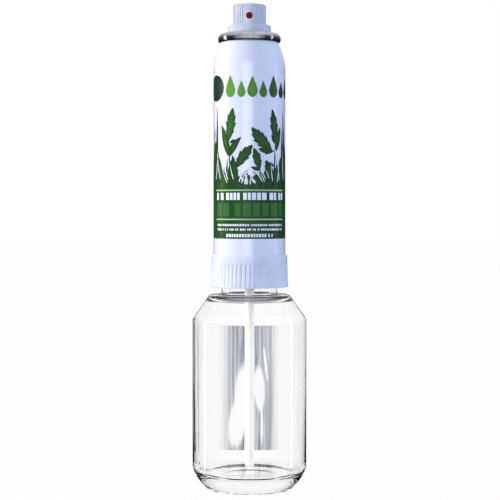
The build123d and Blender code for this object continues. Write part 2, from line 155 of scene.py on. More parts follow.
def painted(name: str, surface: Callable[[Tree], Socket]) -> bpy.types.Material:
    """A material with a name, whose surface is built by a function of its tree."""
    made = bpy.data.materials.new(name)
    made.use_nodes = True
    tree = Tree(made.node_tree)
    tree.add("OutputMaterial", {"Surface": surface(tree)})
    return made


# ---------------------------------------------------------------- finishes


@dataclass(frozen=True)
class Finish:
    """One surface finish: what it is made of, and how its surface came about."""

    name: str

    def sockets(self, tree: Tree) -> dict[str, Any]:
        """What goes into the shader: constants, and links from the finish's own nodes."""
        raise NotImplementedError

    def surface(self, tree: Tree) -> Socket:
        """One Principled shader with this finish's sockets."""
        return tree.add("BsdfPrincipled", self.sockets(tree)).outputs["BSDF"]

    def put_on(self, piece: Piece) -> None:
        """Gives a piece this finish in place of any it has."""
        piece.data.materials.clear()
        piece.data.materials.append(painted(self.name, self.surface))

    def put_on_slots(self, piece: Piece) -> None:
        """Assigns this finish to each material slot of a carried-over node, and leaves its mesh alone."""
        made = painted(self.name, self.surface)
        for slot in piece.material_slots:
            slot.link = "OBJECT"
            slot.material = made


@dataclass(frozen=True)
class PressedGlass(Finish):
    """Clear soda-lime glass, pressed and blown in a mould.

    The eye sees clear walls with slate lines where they are seen edge-on, and a faint ripple that the mould leaves,
    which bends what is seen through the wall; the grey streaks in the wall are a painted reflection, glowing on a card
    behind the jar.
    """

    tint: str = "#ffffff"
    ripple: float = 9.0
    streak: float = 1.6

    def sockets(self, tree: Tree) -> dict[str, Any]:
        """Clear, with a vertical ripple."""
        tall = tree.place((1, 1, 0.12))
        wave = tree.maths("MULTIPLY_ADD", tree.noise(tall, self.streak, 2.0), 0.16, tree.noise(tall, self.ripple, 1.0))
        return {"Base Color": linear(self.tint), "Transmission Weight": 1.0, "Roughness": 0.0, "IOR": 1.52,
                "Normal": tree.bump(wave, 0.35, 0.00012)}

    def surface(self, tree: Tree) -> Socket:
        """The glass, which lets lamps through to what is inside it."""
        clear = tree.add("BsdfTransparent", {"Color": linear(self.tint)}).outputs["BSDF"]
        return tree.mix(tree.add("LightPath").outputs["Is Shadow Ray"], super().surface(tree), clear)


@dataclass(frozen=True)
class Moulded(Finish):
    """Injection-moulded plastic.

    The eye sees a soft, slightly see-into white with a satin gloss, and the fine grain of the mould's
    steel in its highlights.
    """

    colour: str = "#f2f2f6"
    shade: str = "#e9e9ef"
    roughness: float = 0.38
    grain: float = 0.35
    depth: float = 0.000006
    scatter: float = 0.15
    ior: float = 1.49

    def sockets(self, tree: Tree) -> dict[str, Any]:
        """A faint cloudiness in the colour, with a fine moulded grain."""
        place = tree.place()
        grain = tree.noise(place, self.grain, 3.0)
        return {"Base Color": tree.ramp(tree.noise(place, 7.0, 2.0), (0.35, self.shade), (0.65, self.colour)),
                "Roughness": tree.span(grain, self.roughness - 0.05, self.roughness + 0.05),
                "Normal": tree.bump(grain, 0.5, self.depth), "IOR": self.ior,
                "Subsurface Weight": self.scatter, "Subsurface Radius": (0.9, 0.9, 1.0), "Subsurface Scale": 0.0008}


@dataclass(frozen=True)
class Lacquer(Finish):
    """White stoving lacquer on drawn aluminium.

    The eye sees a clean white with a clear, slightly rippled gloss, the orange peel of a sprayed coat.
    """

    colour: str = "#f4f5f9"
    peel: float = 1.1

    def sockets(self, tree: Tree) -> dict[str, Any]:
        """White with an orange-peel clear coat."""
        place = tree.place()
        peel = tree.noise(place, self.peel, 1.0)
        return {"Base Color": tree.ramp(tree.noise(place, 14.0, 1.0), (0.3, "#eff1f6"), (0.7, self.colour)),
                "Roughness": tree.span(peel, 0.2, 0.26), "Normal": tree.bump(peel, 0.2, 0.000005), "IOR": 1.5,
                "Coat Weight": 0.6, "Coat Roughness": 0.08}


@dataclass(frozen=True)
class Ink(Finish):
    """Dry-offset printing ink, laid on the lacquer in one thin film.

    The eye sees flat colour that runs from a deep to a lighter green within a shape, with a very fine
    mottle from the printing blanket. The run follows each shape's own tone attribute.
    """

    deep: str = "#17471f"
    light: str = "#2f6b2c"
    mottle: float = 0.5

    def sockets(self, tree: Tree) -> dict[str, Any]:
        """Colour from the shape's tone, broken a little by the blanket's mottle."""
        tone = tree.add("Attribute", attribute_name="tone").outputs["Fac"]
        mottle = tree.noise(tree.place(), self.mottle, 2.0)
        broken = tree.maths("MULTIPLY_ADD", mottle, 0.18, tone, clamp=True)
        return {"Base Color": tree.ramp(broken, (0.08, self.deep), (1.0, self.light)),
                "Roughness": tree.span(mottle, 0.3, 0.42), "Normal": tree.bump(mottle, 0.2, 0.000006), "IOR": 1.45,
                "Coat Weight": 0.08, "Coat Roughness": 0.15}


@dataclass(frozen=True)
class RolledTinplate(Finish):
    """Tin-plated steel, pressed to shape with its edge rolled over.

    The eye sees bright metal that mirrors light and dark in long bands, with the faint rings that the
    curling tool leaves.
    """

    colour: str = "#d3d2d6"
    roughness: float = 0.16
    rings: float = 0.3

    def sockets(self, tree: Tree) -> dict[str, Any]:
        """Metal with tool rings and slightly uneven tin."""
        cloud = tree.noise(tree.place(), 3.0, 3.0)
        rings = tree.noise(tree.place((0.05, 0.05, 1.0)), self.rings, 2.0)
        return {"Base Color": tree.ramp(cloud, (0.3, "#bdbcc2"), (0.7, self.colour)), "Metallic": 1.0,
                "Roughness": tree.span(cloud, self.roughness - 0.04, self.roughness + 0.08),
                "Normal": tree.bump(rings, 0.25, 0.00001)}


@dataclass(frozen=True)
class ExtrudedTube(Finish):
    """Natural polyethylene, drawn out as a tube.

    The eye sees a milky white that glows a little, with fine lines along the tube from the die.
    """

    colour: str = "#fffdf4"

    def sockets(self, tree: Tree) -> dict[str, Any]:
        """Milky white with die lines that run along the tube."""
        lines = tree.noise(tree.place((1, 1, 0.01)), 0.4, 2.0)
        return {"Base Color": tree.ramp(lines, (0.3, "#f6f3ea"), (0.7, self.colour)), "Roughness": 0.35,
                "Normal": tree.bump(lines, 0.4, 0.00002), "IOR": 1.51,
                "Subsurface Weight": 0.5, "Subsurface Radius": (1.0, 1.0, 1.0), "Subsurface Scale": 0.0012}


@dataclass(frozen=True)
class Rubber(Finish):
    """Black nitrile rubber, moulded flat and punched.

    The eye sees a dull near-black with a dusting of talc in its pores.
    """

    colour: str = "#1b1b1d"
    dust: str = "#37373a"
    roughness: float = 0.72

    def sockets(self, tree: Tree) -> dict[str, Any]:
        """Dull black with fine paler pores."""
        pores = tree.noise(tree.place(), 0.5, 4.0)
        return {"Base Color": tree.ramp(pores, (0.45, self.colour), (0.75, self.dust)),
                "Roughness": self.roughness, "Normal": tree.bump(pores, 0.5, 0.00002)}


@dataclass(frozen=True)
class DrawnSteel(Finish):
    """Spring steel wire, drawn and coiled.

    The eye sees a bright grey metal with fine scratches along the wire.
    """

    colour: str = "#b9bbbf"
    roughness: float = 0.28

    def sockets(self, tree: Tree) -> dict[str, Any]:
        """Bright metal with fine drawing marks."""
        marks = tree.noise(tree.place(), 0.2, 3.0)
        return {"Base Color": tree.ramp(marks, (0.3, "#9b9da3"), (0.7, self.colour)), "Metallic": 1.0,
                "Roughness": tree.span(marks, self.roughness - 0.06, self.roughness + 0.08)}


# ---------------------------------------------------------------- modelling by hand


class Ends(Enum):
    """How the two ends of a turned outline are finished."""

    OPEN = "open"
    LOOPED = "looped"
    POLES = "poles"


@dataclass(frozen=True)
class Corner:
    """One corner of a turned outline, in millimetres, and the radius that rounds it off."""

    radius: float
    height: float
    rounding: float = 0.0


def select_nothing() -> None:
    """Leaves edit mode and clears the selection, so that the next operator acts on its own piece alone."""
    if bpy.context.object is not None and bpy.context.object.mode != "OBJECT":
        bpy.ops.object.mode_set(mode="OBJECT")
    bpy.ops.object.select_all(action="DESELECT")


def take_up(piece: Piece) -> None:
    """Selects one piece and makes it the active one."""
    select_nothing()
    piece.select_set(True)
    bpy.context.view_layer.objects.active = piece


def settle(piece: Piece) -> Piece:
    """Puts a piece's place, turn and size into its mesh, and returns it."""
    take_up(piece)
    bpy.ops.object.transform_apply(location=True, rotation=True, scale=True)
    return piece


@contextmanager
def editing(piece: Piece) -> Iterator[None]:
    """Holds a piece in edit mode, with all of it selected at first."""
    take_up(piece)
    bpy.ops.object.mode_set(mode="EDIT")
    bpy.ops.mesh.select_all(action="SELECT")
    yield
    bpy.ops.object.mode_set(mode="OBJECT")


def modify(piece: Piece, kind: str, **settings: Any) -> None:
    """Gives a piece a modifier with its settings, and applies it."""
    take_up(piece)
    bpy.ops.object.modifier_add(type=kind)
    modifier = piece.modifiers[-1]
    for key, value in settings.items():
        setattr(modifier, key, value)
    bpy.ops.object.modifier_apply(modifier=modifier.name)


def choose(piece: Piece, wanted: Callable[[Vector], bool]) -> int:
    """Selects points of the piece in edit mode.

    Args:
        piece: the piece that is in edit mode.
        wanted: says of a point, in metres, whether it is chosen.

    Returns:
        How many points were chosen.
    """
    bpy.ops.mesh.select_mode(type="VERT")
    bpy.ops.mesh.select_all(action="DESELECT")
    mesh = bmesh.from_edit_mesh(piece.data)
    count = 0
    for point in mesh.verts:
        if wanted(point.co):
            point.select = True
            count += 1
    mesh.select_flush_mode()
    bmesh.update_edit_mesh(piece.data)
    return count


def on_ring(radius: float, height: float, slack: float = 0.002) -> Callable[[Vector], bool]:
    """A test for the points of one ring, given its radius and height in millimetres."""
    return lambda co: abs(hypot(co.x, co.y) - radius * MM) < slack * MM and abs(co.z - height * MM) < slack * MM


def arc(start: Corner, end: Corner, heading: tuple[float, float], steps: int) -> list[Corner]:
    """Corners along the arc that leaves start on a heading and meets end.

    Args:
        start: where the arc begins; it isn't in the list.
        end: where the arc ends; it is the last in the list.
        heading: the direction in which the arc leaves start, as radius and height.
        steps: how many straight runs stand for the arc.

    Returns:
        The corners after start, as far as end.
    """
    size = hypot(*heading)
    along = (heading[0] / size, heading[1] / size)
    across = (-along[1], along[0])
    reach = (end.radius - start.radius, end.height - start.height)
    side = reach[0] * across[0] + reach[1] * across[1]
    bend = (reach[0] ** 2 + reach[1] ** 2) / (2 * side)
    middle = (start.radius + across[0] * bend, start.height + across[1] * bend)
    begin = atan2(start.height - middle[1], start.radius - middle[0])
    finish = atan2(end.height - middle[1], end.radius - middle[0])
    sweep = finish - begin
    if bend > 0 and sweep < 0:
        sweep += 2 * pi
    if bend < 0 and sweep > 0:
        sweep -= 2 * pi
    size = abs(bend)
    return [
        Corner(middle[0] + size * cos(begin + sweep * i / steps), middle[1] + size * sin(begin + sweep * i / steps))
        for i in range(1, steps + 1)
    ]


def turned_angle(before: Corner, at: Corner, after: Corner) -> float:
    """The angle, in radians, by which the outline turns at a corner."""
    first = atan2(at.height - before.height, at.radius - before.radius)
    second = atan2(after.height - at.height, after.radius - at.radius)
    return abs((second - first + pi) % (2 * pi) - pi)


def turn(name: str, corners: Sequence[Corner], ends: Ends, segments: int = 128, steps: int = 5) -> Piece:
    """Makes a turned piece: a ring is drawn at the first corner and pulled from corner to corner.

    Args:
        name: the piece's name.
        corners: the outline, in millimetres.
        ends: whether the outline closes on itself, is closed over at its poles, or stays open.
        segments: how many straight runs go round the axis.
        steps: how many runs round off a corner.

    Returns:
        The piece, in its place.
    """
    select_nothing()
    first = corners[0]
    bpy.ops.mesh.primitive_circle_add(vertices=segments, radius=first.radius * MM, location=(0, 0, first.height * MM))
    piece = settle(bpy.context.object)
    piece.name = piece.data.name = name
    path = [*corners, first] if ends is Ends.LOOPED else list(corners)
    with editing(piece):
        for last, corner in zip(path, path[1:]):
            rise = (corner.height - last.height) * MM
            growth = corner.radius / last.radius
            bpy.ops.mesh.extrude_region_move(TRANSFORM_OT_translate={"value": (0, 0, rise)})
            bpy.ops.transform.resize(value=(growth, growth, 1), center_override=(0, 0, corner.height * MM))
        if ends is Ends.POLES:
            for corner in (path[-1], first):
                choose(piece, on_ring(corner.radius, corner.height))
                bpy.ops.mesh.extrude_region_move(TRANSFORM_OT_translate={"value": (0, 0, 0)})
                bpy.ops.mesh.merge(type="CENTER")
        bpy.ops.mesh.select_all(action="SELECT")
        bpy.ops.mesh.remove_doubles(threshold=1e-7)
        if ends is not Ends.OPEN:
            bpy.ops.mesh.select_all(action="SELECT")
            bpy.ops.mesh.normals_make_consistent(inside=False)
        for i, corner in enumerate(corners):
            if corner.rounding:
                bend = turned_angle(corners[i - 1], corner, corners[(i + 1) % len(corners)])
                choose(piece, on_ring(corner.radius, corner.height))
                bpy.ops.mesh.bevel(offset_type="OFFSET", offset=corner.rounding * tan(bend / 2) * MM,
                                   segments=steps, affect="EDGES")
    return piece


def press(piece: Piece, wanted: Callable[[Vector], bool], depth: float, radius: float) -> None:
    """Presses chosen points of a turned wall towards the axis.

    Args:
        piece: the piece that is in edit mode.
        wanted: which points are pressed.
        depth: how deep, in millimetres.
        radius: the wall's radius there, in millimetres.
    """
    if choose(piece, wanted):
        share = (radius - depth) / radius
        bpy.ops.transform.resize(value=(share, share, 1), center_override=(0, 0, 0))


def smooth(piece: Piece, angle: float = 35.0) -> None:
    """Shades a piece smooth, and keeps edges sharper than the angle, in degrees."""
    take_up(piece)
    bpy.ops.object.shade_smooth_by_angle(angle=radians(angle))


def combine(piece: Piece, other: Piece, operation: str) -> None:
    """Cuts a solid out of a piece (DIFFERENCE) or adds it (UNION), and throws the solid away."""
    modify(piece, "BOOLEAN", operation=operation, solver="EXACT", object=other)
    bpy.data.objects.remove(other)


@dataclass(frozen=True)
class Thread:
    """A screw thread's ridge, in millimetres: its root and crest, and where it starts."""

    root: float
    crest: float
    root_width: float
    crest_width: float
    start: float
    angle: float = 0.0
    pitch: float = 4.233
    turns: float = 1.25
    sink: float = 0.3
    steps: int = 150
    fade: int = 14

    def build(self) -> Piece:
        """Winds the ridge's section up round the axis, closes its ends and lets them run out.

        Returns:
            The ridge, as a closed solid.
        """
        outward = 1 if self.crest > self.root else -1
        slope = (self.root_width - self.crest_width) / 2 / abs(self.crest - self.root)
        base = self.root_width / 2 + slope * self.sink
        sunk, tip = self.root - outward * self.sink, self.crest_width / 2
        section = [(sunk, -base), (self.crest, -tip), (sunk, base), (self.crest, tip)]
        select_nothing()
        bpy.ops.mesh.primitive_plane_add(size=1)
        ridge = bpy.context.object
        for point, (radius, height) in zip(ridge.data.vertices, section):
            point.co = Vector((radius * MM, 0, height * MM))
        modify(ridge, "SCREW", angle=2 * pi * self.turns, screw_offset=self.pitch * self.turns * MM,
               steps=self.steps, render_steps=self.steps, use_merge_vertices=False, use_smooth_shade=False)
        half_sunk = self.root - outward * self.sink * 0.5
        for point in ridge.data.vertices:
            step = point.index // len(section)
            share = min(1.0, (min(step, self.steps - step) + 0.5) / self.fade)
            radius = hypot(point.co.x, point.co.y) / MM
            if (radius - self.root) * outward > 0:
                wanted = half_sunk + (self.crest - half_sunk) * share
                point.co.x *= wanted / radius
                point.co.y *= wanted / radius
        ridge.rotation_euler = (0, 0, radians(self.angle))
        ridge.location = (0, 0, self.start * MM)
        with editing(settle(ridge)):
            bpy.ops.mesh.fill_holes(sides=4)
            bpy.ops.mesh.select_all(action="SELECT")
            bpy.ops.mesh.normals_make_consistent(inside=False)
        return ridge


def join(pieces: Sequence[Piece], name: str) -> Piece:
    """Joins several meshes into one piece with a name."""
    select_nothing()
    for piece in pieces:
        piece.select_set(True)
    bpy.context.view_layer.objects.active = pieces[0]
    if len(pieces) > 1:
        bpy.ops.object.join()
    pieces[0].name = pieces[0].data.name = name
    return pieces[0]


def polar(co: Vector) -> tuple[float, float, float]:
    """A point's angle about the axis in degrees, and its radius and height in millimetres."""
    return degrees(atan2(co.y, co.x)), hypot(co.x, co.y) / MM, co.z / MM


def set_down(piece: Piece, finish: Finish, body: str, node: str = "") -> None:
    """Gives a piece its finish, puts it on its body, and hides the CAD node that it stands for, if any."""
    finish.put_on(piece)
    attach(piece, body)
    if node:
        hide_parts(node)


# ---------------------------------------------------------------- the jar


@dataclass
class Jar:
    """The clear glass jar: a thick floor, a straight wall, a conical shoulder and a short neck."""

    wall: float = 2.3
    floor: float = 8.0
    straight_top: float = 89.3
    ledge_radius: float = 21.2
    ledge_height: float = 102.1
    ledge_rise: float = 0.7
    standing_radius: float = 22.5
    heel_height: float = 11.2
    heel_crease: float = 14.0
    push_up_radius: float = 19.5
    push_up_depth: float = 1.8
    neck_radius: float = 14.8
    bore_radius: float = 12.4
    thread_depth: float = 1.2
    thread_drop: float = 7.991
    thread_widths: tuple[float, float] = (2.4, 1.2)
    knurls: int = 96
    knurl_depth: float = 0.25
    knurl_height: float = 1.2
    body: str = "jar_body"
    glass: PressedGlass = PressedGlass("clear_pressed_glass")

    def outline(self) -> list[Corner]:
        """The whole section, from the pole under the base, round the wall, to the pole of the inner floor."""
        low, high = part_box("jar")
        radius = (high.x - low.x) / 2 / MM
        rim = high.z / MM
        lean = atan((radius - self.ledge_radius) / (self.ledge_height - self.straight_top))
        inner = radius - self.wall
        inner_straight = self.straight_top - self.wall * tan(lean / 2)
        inner_top = self.ledge_height - self.wall
        inner_ledge = inner - (inner_top - inner_straight) * tan(lean)
        hollow_end = Corner(self.push_up_radius, 0.0)
        hollow = arc(Corner(0.0, self.push_up_depth), hollow_end, (1, 0), 6)
        heel_foot = Corner(self.standing_radius, 0.0)
        heel_top = Corner(radius, self.heel_height)
        heel = arc(heel_top, heel_foot, (-tan(radians(self.heel_crease)), -1), 14)
        return [
            *hollow,
            heel_foot,
            *reversed(heel[:-1]),
            heel_top,
            Corner(radius, self.straight_top, 3.0),
            Corner(self.ledge_radius, self.ledge_height, 1.6),
            Corner(self.neck_radius, self.ledge_height + self.ledge_rise, 0.6),
            Corner(self.neck_radius, rim, 0.8),
            Corner(self.bore_radius, rim, 0.4),
            Corner(self.bore_radius, inner_top + self.ledge_rise, 1.2),
            Corner(inner_ledge, inner_top, 6.0),
            Corner(inner, inner_straight, 3.0),
            Corner(inner, self.floor, 3.5),
            Corner(0.6, self.floor),
        ]

    def build(self) -> Piece:
        """Turns the jar, knurls the ring that it stands on and winds its thread on.

        Returns:
            The glass piece that stands for the jar.
        """
        piece = turn("jar_glass", self.outline(), Ends.POLES, segments=2 * self.knurls, steps=6)
        pitch = 180.0 / self.knurls

        def in_knurl(co: Vector) -> bool:
            """Whether a point of the heel's foot is on every other line of the ring."""
            angle, radius, height = polar(co)
            foot = self.push_up_radius + 0.5 < radius < self.standing_radius + 2.2 and 0.05 < height < self.knurl_height
            return foot and round((angle - 90.0) / pitch) % 2 == 0

        with editing(piece):
            press(piece, in_knurl, self.knurl_depth, self.standing_radius)
        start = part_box("jar")[1].z / MM - self.thread_drop
        thread = Thread(self.neck_radius, self.neck_radius + self.thread_depth, *self.thread_widths, start)
        combine(piece, thread.build(), "UNION")
        smooth(piece, 12.0)
        return piece

    def dress(self, piece: Piece) -> None:
        """Gives the jar its glass, and puts it on its body."""
        set_down(piece, self.glass, self.body, "jar")


# ---------------------------------------------------------------- the screw collar


@dataclass
class ScrewCollar:
    """The white collar: an outer skirt with flutes, and an inner one that screws on the jar's neck."""

    top_radius: float = 20.0
    low_radius: float = 20.5
    bore_radius: float = 19.08
    inner_skirt: tuple[float, float] = (16.3, 17.7)
    inner_skirt_lift: float = 0.5
    web: float = 1.2
    web_height: float = 117.5
    hole_radius: float = 3.5
    edge: float = 0.5
    snap_drop: float = 1.0
    snap_depth: float = 0.45
    snap_width: float = 1.2
    thread_depth: float = 1.1
    thread_start: float = 107.717
    thread_angle: float = 90.0
    thread_widths: tuple[float, float] = (1.8, 0.9)
    flutes: int = 55
    flute_columns: int = 12
    flute_radius: float = 0.75
    flute_depth: float = 0.3
    flute_fade: float = 0.12
    flute_drop: float = 5.2
    flute_reach: int = 4
    least_press: float = 0.004
    body: str = "collar"
    plastic: Moulded = Moulded("moulded_polypropylene", "#edeff4", "#e5e8ef", 0.24)

    def build(self) -> Piece:
        """Turns the collar and presses its flutes in.

        Returns:
            The piece that stands for the collar.
        """
        low, high = (corner.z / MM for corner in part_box("screw_collar"))
        taper = (self.low_radius - self.top_radius) / (high - low)
        flute_top = high - self.flute_drop
        arch = [0.0, 0.2, 0.35, 0.45, 0.53, 0.6]
        rows = [low + self.edge + 0.05, low + 2.0, low + 5.0, low + 8.0, *[flute_top + a for a in arch]]
        snap = high - self.snap_drop
        half = self.snap_width / 2
        corners = [
            Corner(self.inner_skirt[0], low + self.inner_skirt_lift, 0.2),
            Corner(self.inner_skirt[1], low + self.inner_skirt_lift, 0.2),
            Corner(self.inner_skirt[1], self.web_height),
            Corner(self.bore_radius, self.web_height),
            Corner(self.bore_radius, low, 0.15),
            Corner(self.low_radius, low, self.edge),
            *[Corner(self.top_radius + taper * (high - row), row) for row in rows],
            Corner(self.top_radius, high, self.edge),
            Corner(self.bore_radius, high, 0.12),
            Corner(self.bore_radius, snap + half),
            Corner(self.bore_radius - self.snap_depth, snap),
            Corner(self.bore_radius, snap - half),
            Corner(self.bore_radius, self.web_height + self.web),
            Corner(self.hole_radius, self.web_height + self.web),
            Corner(self.hole_radius, self.web_height),
            Corner(self.inner_skirt[0], self.web_height),
        ]
        piece = turn("collar_shell", corners, Ends.LOOPED, segments=self.flutes * self.flute_columns, steps=4)
        column = 360.0 / (self.flutes * self.flute_columns)
        start = 180.0 / self.flutes
        width = radians(column) * self.top_radius

        def in_flute(row: float, step: int, outside: float) -> Callable[[Vector], bool]:
            """A test for the points of this row of the skirt, step columns from a flute's middle."""

            def test(co: Vector) -> bool:
                """Whether one point is there."""
                angle, radius, height = polar(co)
                place = round((angle - start) / column) % self.flute_columns
                near = min(place, self.flute_columns - place) == step
                return near and abs(height - row) <= 0.01 and abs(radius - outside) < 0.05

            return test

        with editing(piece):
            for row in rows:
                above = max(0.0, row - flute_top)
                fade = self.flute_fade * max(0.0, flute_top - row) / (flute_top - low)
                outside = self.top_radius + taper * (high - row)
                for step in range(self.flute_reach):
                    room = self.flute_radius**2 - above**2 - (step * width) ** 2
                    depth = sqrt(max(0.0, room)) - (self.flute_radius - self.flute_depth) - fade
                    if depth > self.least_press:
                        press(piece, in_flute(row, step, outside), depth, outside)
        bore = self.inner_skirt[0]
        thread = Thread(bore, bore - self.thread_depth, *self.thread_widths, self.thread_start, self.thread_angle)
        combine(piece, thread.build(), "UNION")
        smooth(piece, 40.0)
        return piece

    def dress(self, piece: Piece) -> None:
        """Gives the collar its plastic, and puts it on its body."""
        set_down(piece, self.plastic, self.body, "screw_collar")


# ---------------------------------------------------------------- the can and its print


@dataclass
class Can:
    """The drawn aluminium can, lacquered white: a domed floor, a straight wall and a round shoulder."""

    wall: float = 0.5
    floor_hole: float = 3.2
    dome_rise: float = 6.0
    dome_flat: float = 8.0
    ring: tuple[float, float] = (14.4, 17.0)
    corner_height: float = 2.2
    groove: tuple[float, float, float] = (3.5, 0.8, 0.57)
    straight: float = 100.8
    neck_radius: float = 14.7
    neck_height: float = 117.6
    bead_radius: float = 1.5
    bead_center: tuple[float, float] = (14.2, 118.8)
    body: str = "power_unit"
    lacquer: Lacquer = Lacquer("stoved_white_lacquer")

    def build(self) -> Piece:
        """Turns the can's skin, inside and out, as one closed shell.

        Returns:
            The piece that stands for the can.
        """
        low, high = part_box("can_body")
        base, radius = low.z / MM, (high.x - low.x) / 2 / MM
        groove_up, groove_half, groove_depth = self.groove
        groove = base + groove_up
        foot = Corner(radius, base + self.straight)
        neck = Corner(self.neck_radius, base + self.neck_height)
        shoulder = arc(foot, neck, (0, 1), 20)
        middle, bead_height = self.bead_center[0], base + self.bead_center[1]
        bead = [
            Corner(middle + self.bead_radius * cos(radians(a)), bead_height + self.bead_radius * sin(radians(a)))
            for a in range(-60, 241, 20)
        ]
        inner = radius - self.wall
        inside_foot = Corner(inner, base + self.straight)
        inside_neck = Corner(self.neck_radius - self.wall, base + self.neck_height - 0.3)
        inside = arc(inside_foot, inside_neck, (0, 1), 12)
        floor_low, floor_high = base + self.dome_rise, base + self.dome_rise + self.wall
        corners = [
            Corner(self.floor_hole, floor_low),
            Corner(self.dome_flat, floor_low, 2.0),
            Corner(self.ring[0], base, 0.9),
            Corner(self.ring[1], base, 0.9),
            Corner(radius, base + self.corner_height, 0.6),
            Corner(radius, groove - groove_half),
            Corner(radius - groove_depth, groove - groove_half / 2),
            Corner(radius - groove_depth, groove + groove_half / 2),
            Corner(radius, groove + groove_half),
            foot,
            *shoulder,
            *bead,
            *reversed(inside),
            inside_foot,
            Corner(inner, base + self.corner_height + self.wall),
            Corner(self.ring[1] - 0.2, base + self.wall),
            Corner(self.ring[0] + 0.2, base + self.wall),
            Corner(self.dome_flat, floor_high),
            Corner(self.floor_hole, floor_high),
        ]
        piece = turn("can_shell", corners, Ends.LOOPED, segments=192)
        smooth(piece, 25.0)
        return piece

    def dress(self, piece: Piece) -> None:
        """Gives the can its lacquer, and puts it on its body."""
        set_down(piece, self.lacquer, self.body, "can_body")


class Edge(Enum):
    """The kinds of outline that a printed leaf or drop can have."""

    BLADE = "a long plain blade, widest near its foot"
    LEAF = "a plain pointed leaf, widest in its middle"
    TOOTHED = "a pointed leaf, cut into teeth that point to its tip"
    DROP = "a water drop, round below and pointed above"
    DISC = "a plain round spot"


@dataclass(frozen=True)
class Shape:
    """One printed shape on the can's wall, in millimetres round the wall from the front, and up it."""

    edge: Edge
    around: float
    height: float
    length: float
    width: float
    lean: float = 0.0
    bend: float = 0.0
    tone: float = 0.3
    teeth: int = 4

    def half_width(self, t: float) -> float:
        """Half of the shape's width at a share t of its length from the foot."""
        if self.edge is Edge.BLADE:
            return self.width / 2 * (1 - t) ** 0.8 * min(1.0, 0.55 + 1.6 * t)
        if self.edge is Edge.DROP:
            return self.width / 2 * (sqrt(max(0.0, 1 - (t / 0.36 - 1) ** 2)) if t < 0.36 else ((1 - t) / 0.64) ** 0.85)
        if self.edge is Edge.DISC:
            return self.width / 2 * sqrt(max(0.0, 1 - (2 * t - 1) ** 2))
        body = self.width / 2 * sin(pi * t**0.85) ** 0.8 if 0 < t < 1 else 0.0
        if self.edge is Edge.LEAF:
            return body
        place = t * self.teeth
        share = place - int(place) if t < 1 else 1.0
        return body * (0.7 + 0.3 * share)

    def rows(self) -> list[float]:
        """The shares of the length at which the shape has a row of points."""
        if self.edge is Edge.TOOTHED:
            inside = [0.002, 0.3, 0.6, 0.85, 0.985]
            return [0.0, *[(k + s) / self.teeth for k in range(self.teeth) for s in inside], 1.0]
        return [i / 16 for i in range(17)]

    def place(self, t: float, across: float) -> tuple[float, float]:
        """Where a point of the shape lies on the wall.

        Args:
            t: the share of the length from the foot.
            across: the share of the half width, from -1 at the left edge to 1 at the right one.

        Returns:
            Millimetres round the wall from the front, and the height.
        """
        steps = max(1, int(t * 24))
        x, z = self.around, self.height
        for i in range(steps):
            heading = radians(self.lean + self.bend * ((i + 0.5) / steps * t - 0.5))
            x += sin(heading) * self.length * t / steps
            z += cos(heading) * self.length * t / steps
        heading = radians(self.lean + self.bend * (t - 0.5))
        half = self.half_width(t)
        ahead = abs(across) * half * (0.75 if self.edge is Edge.TOOTHED else 0.0) * (1 - t * 0.6)
        side = across * half
        return x + side * cos(heading) + ahead * sin(heading), z - side * sin(heading) + ahead * cos(heading)


def mirrored(shapes: Iterable[Shape], shift: float) -> list[Shape]:
    """The same shapes again, mirrored left to right and moved round the wall by shift millimetres."""
    return [
        Shape(s.edge, shift - s.around, s.height, s.length, s.width, -s.lean, -s.bend, s.tone, s.teeth)
        for s in shapes
    ]


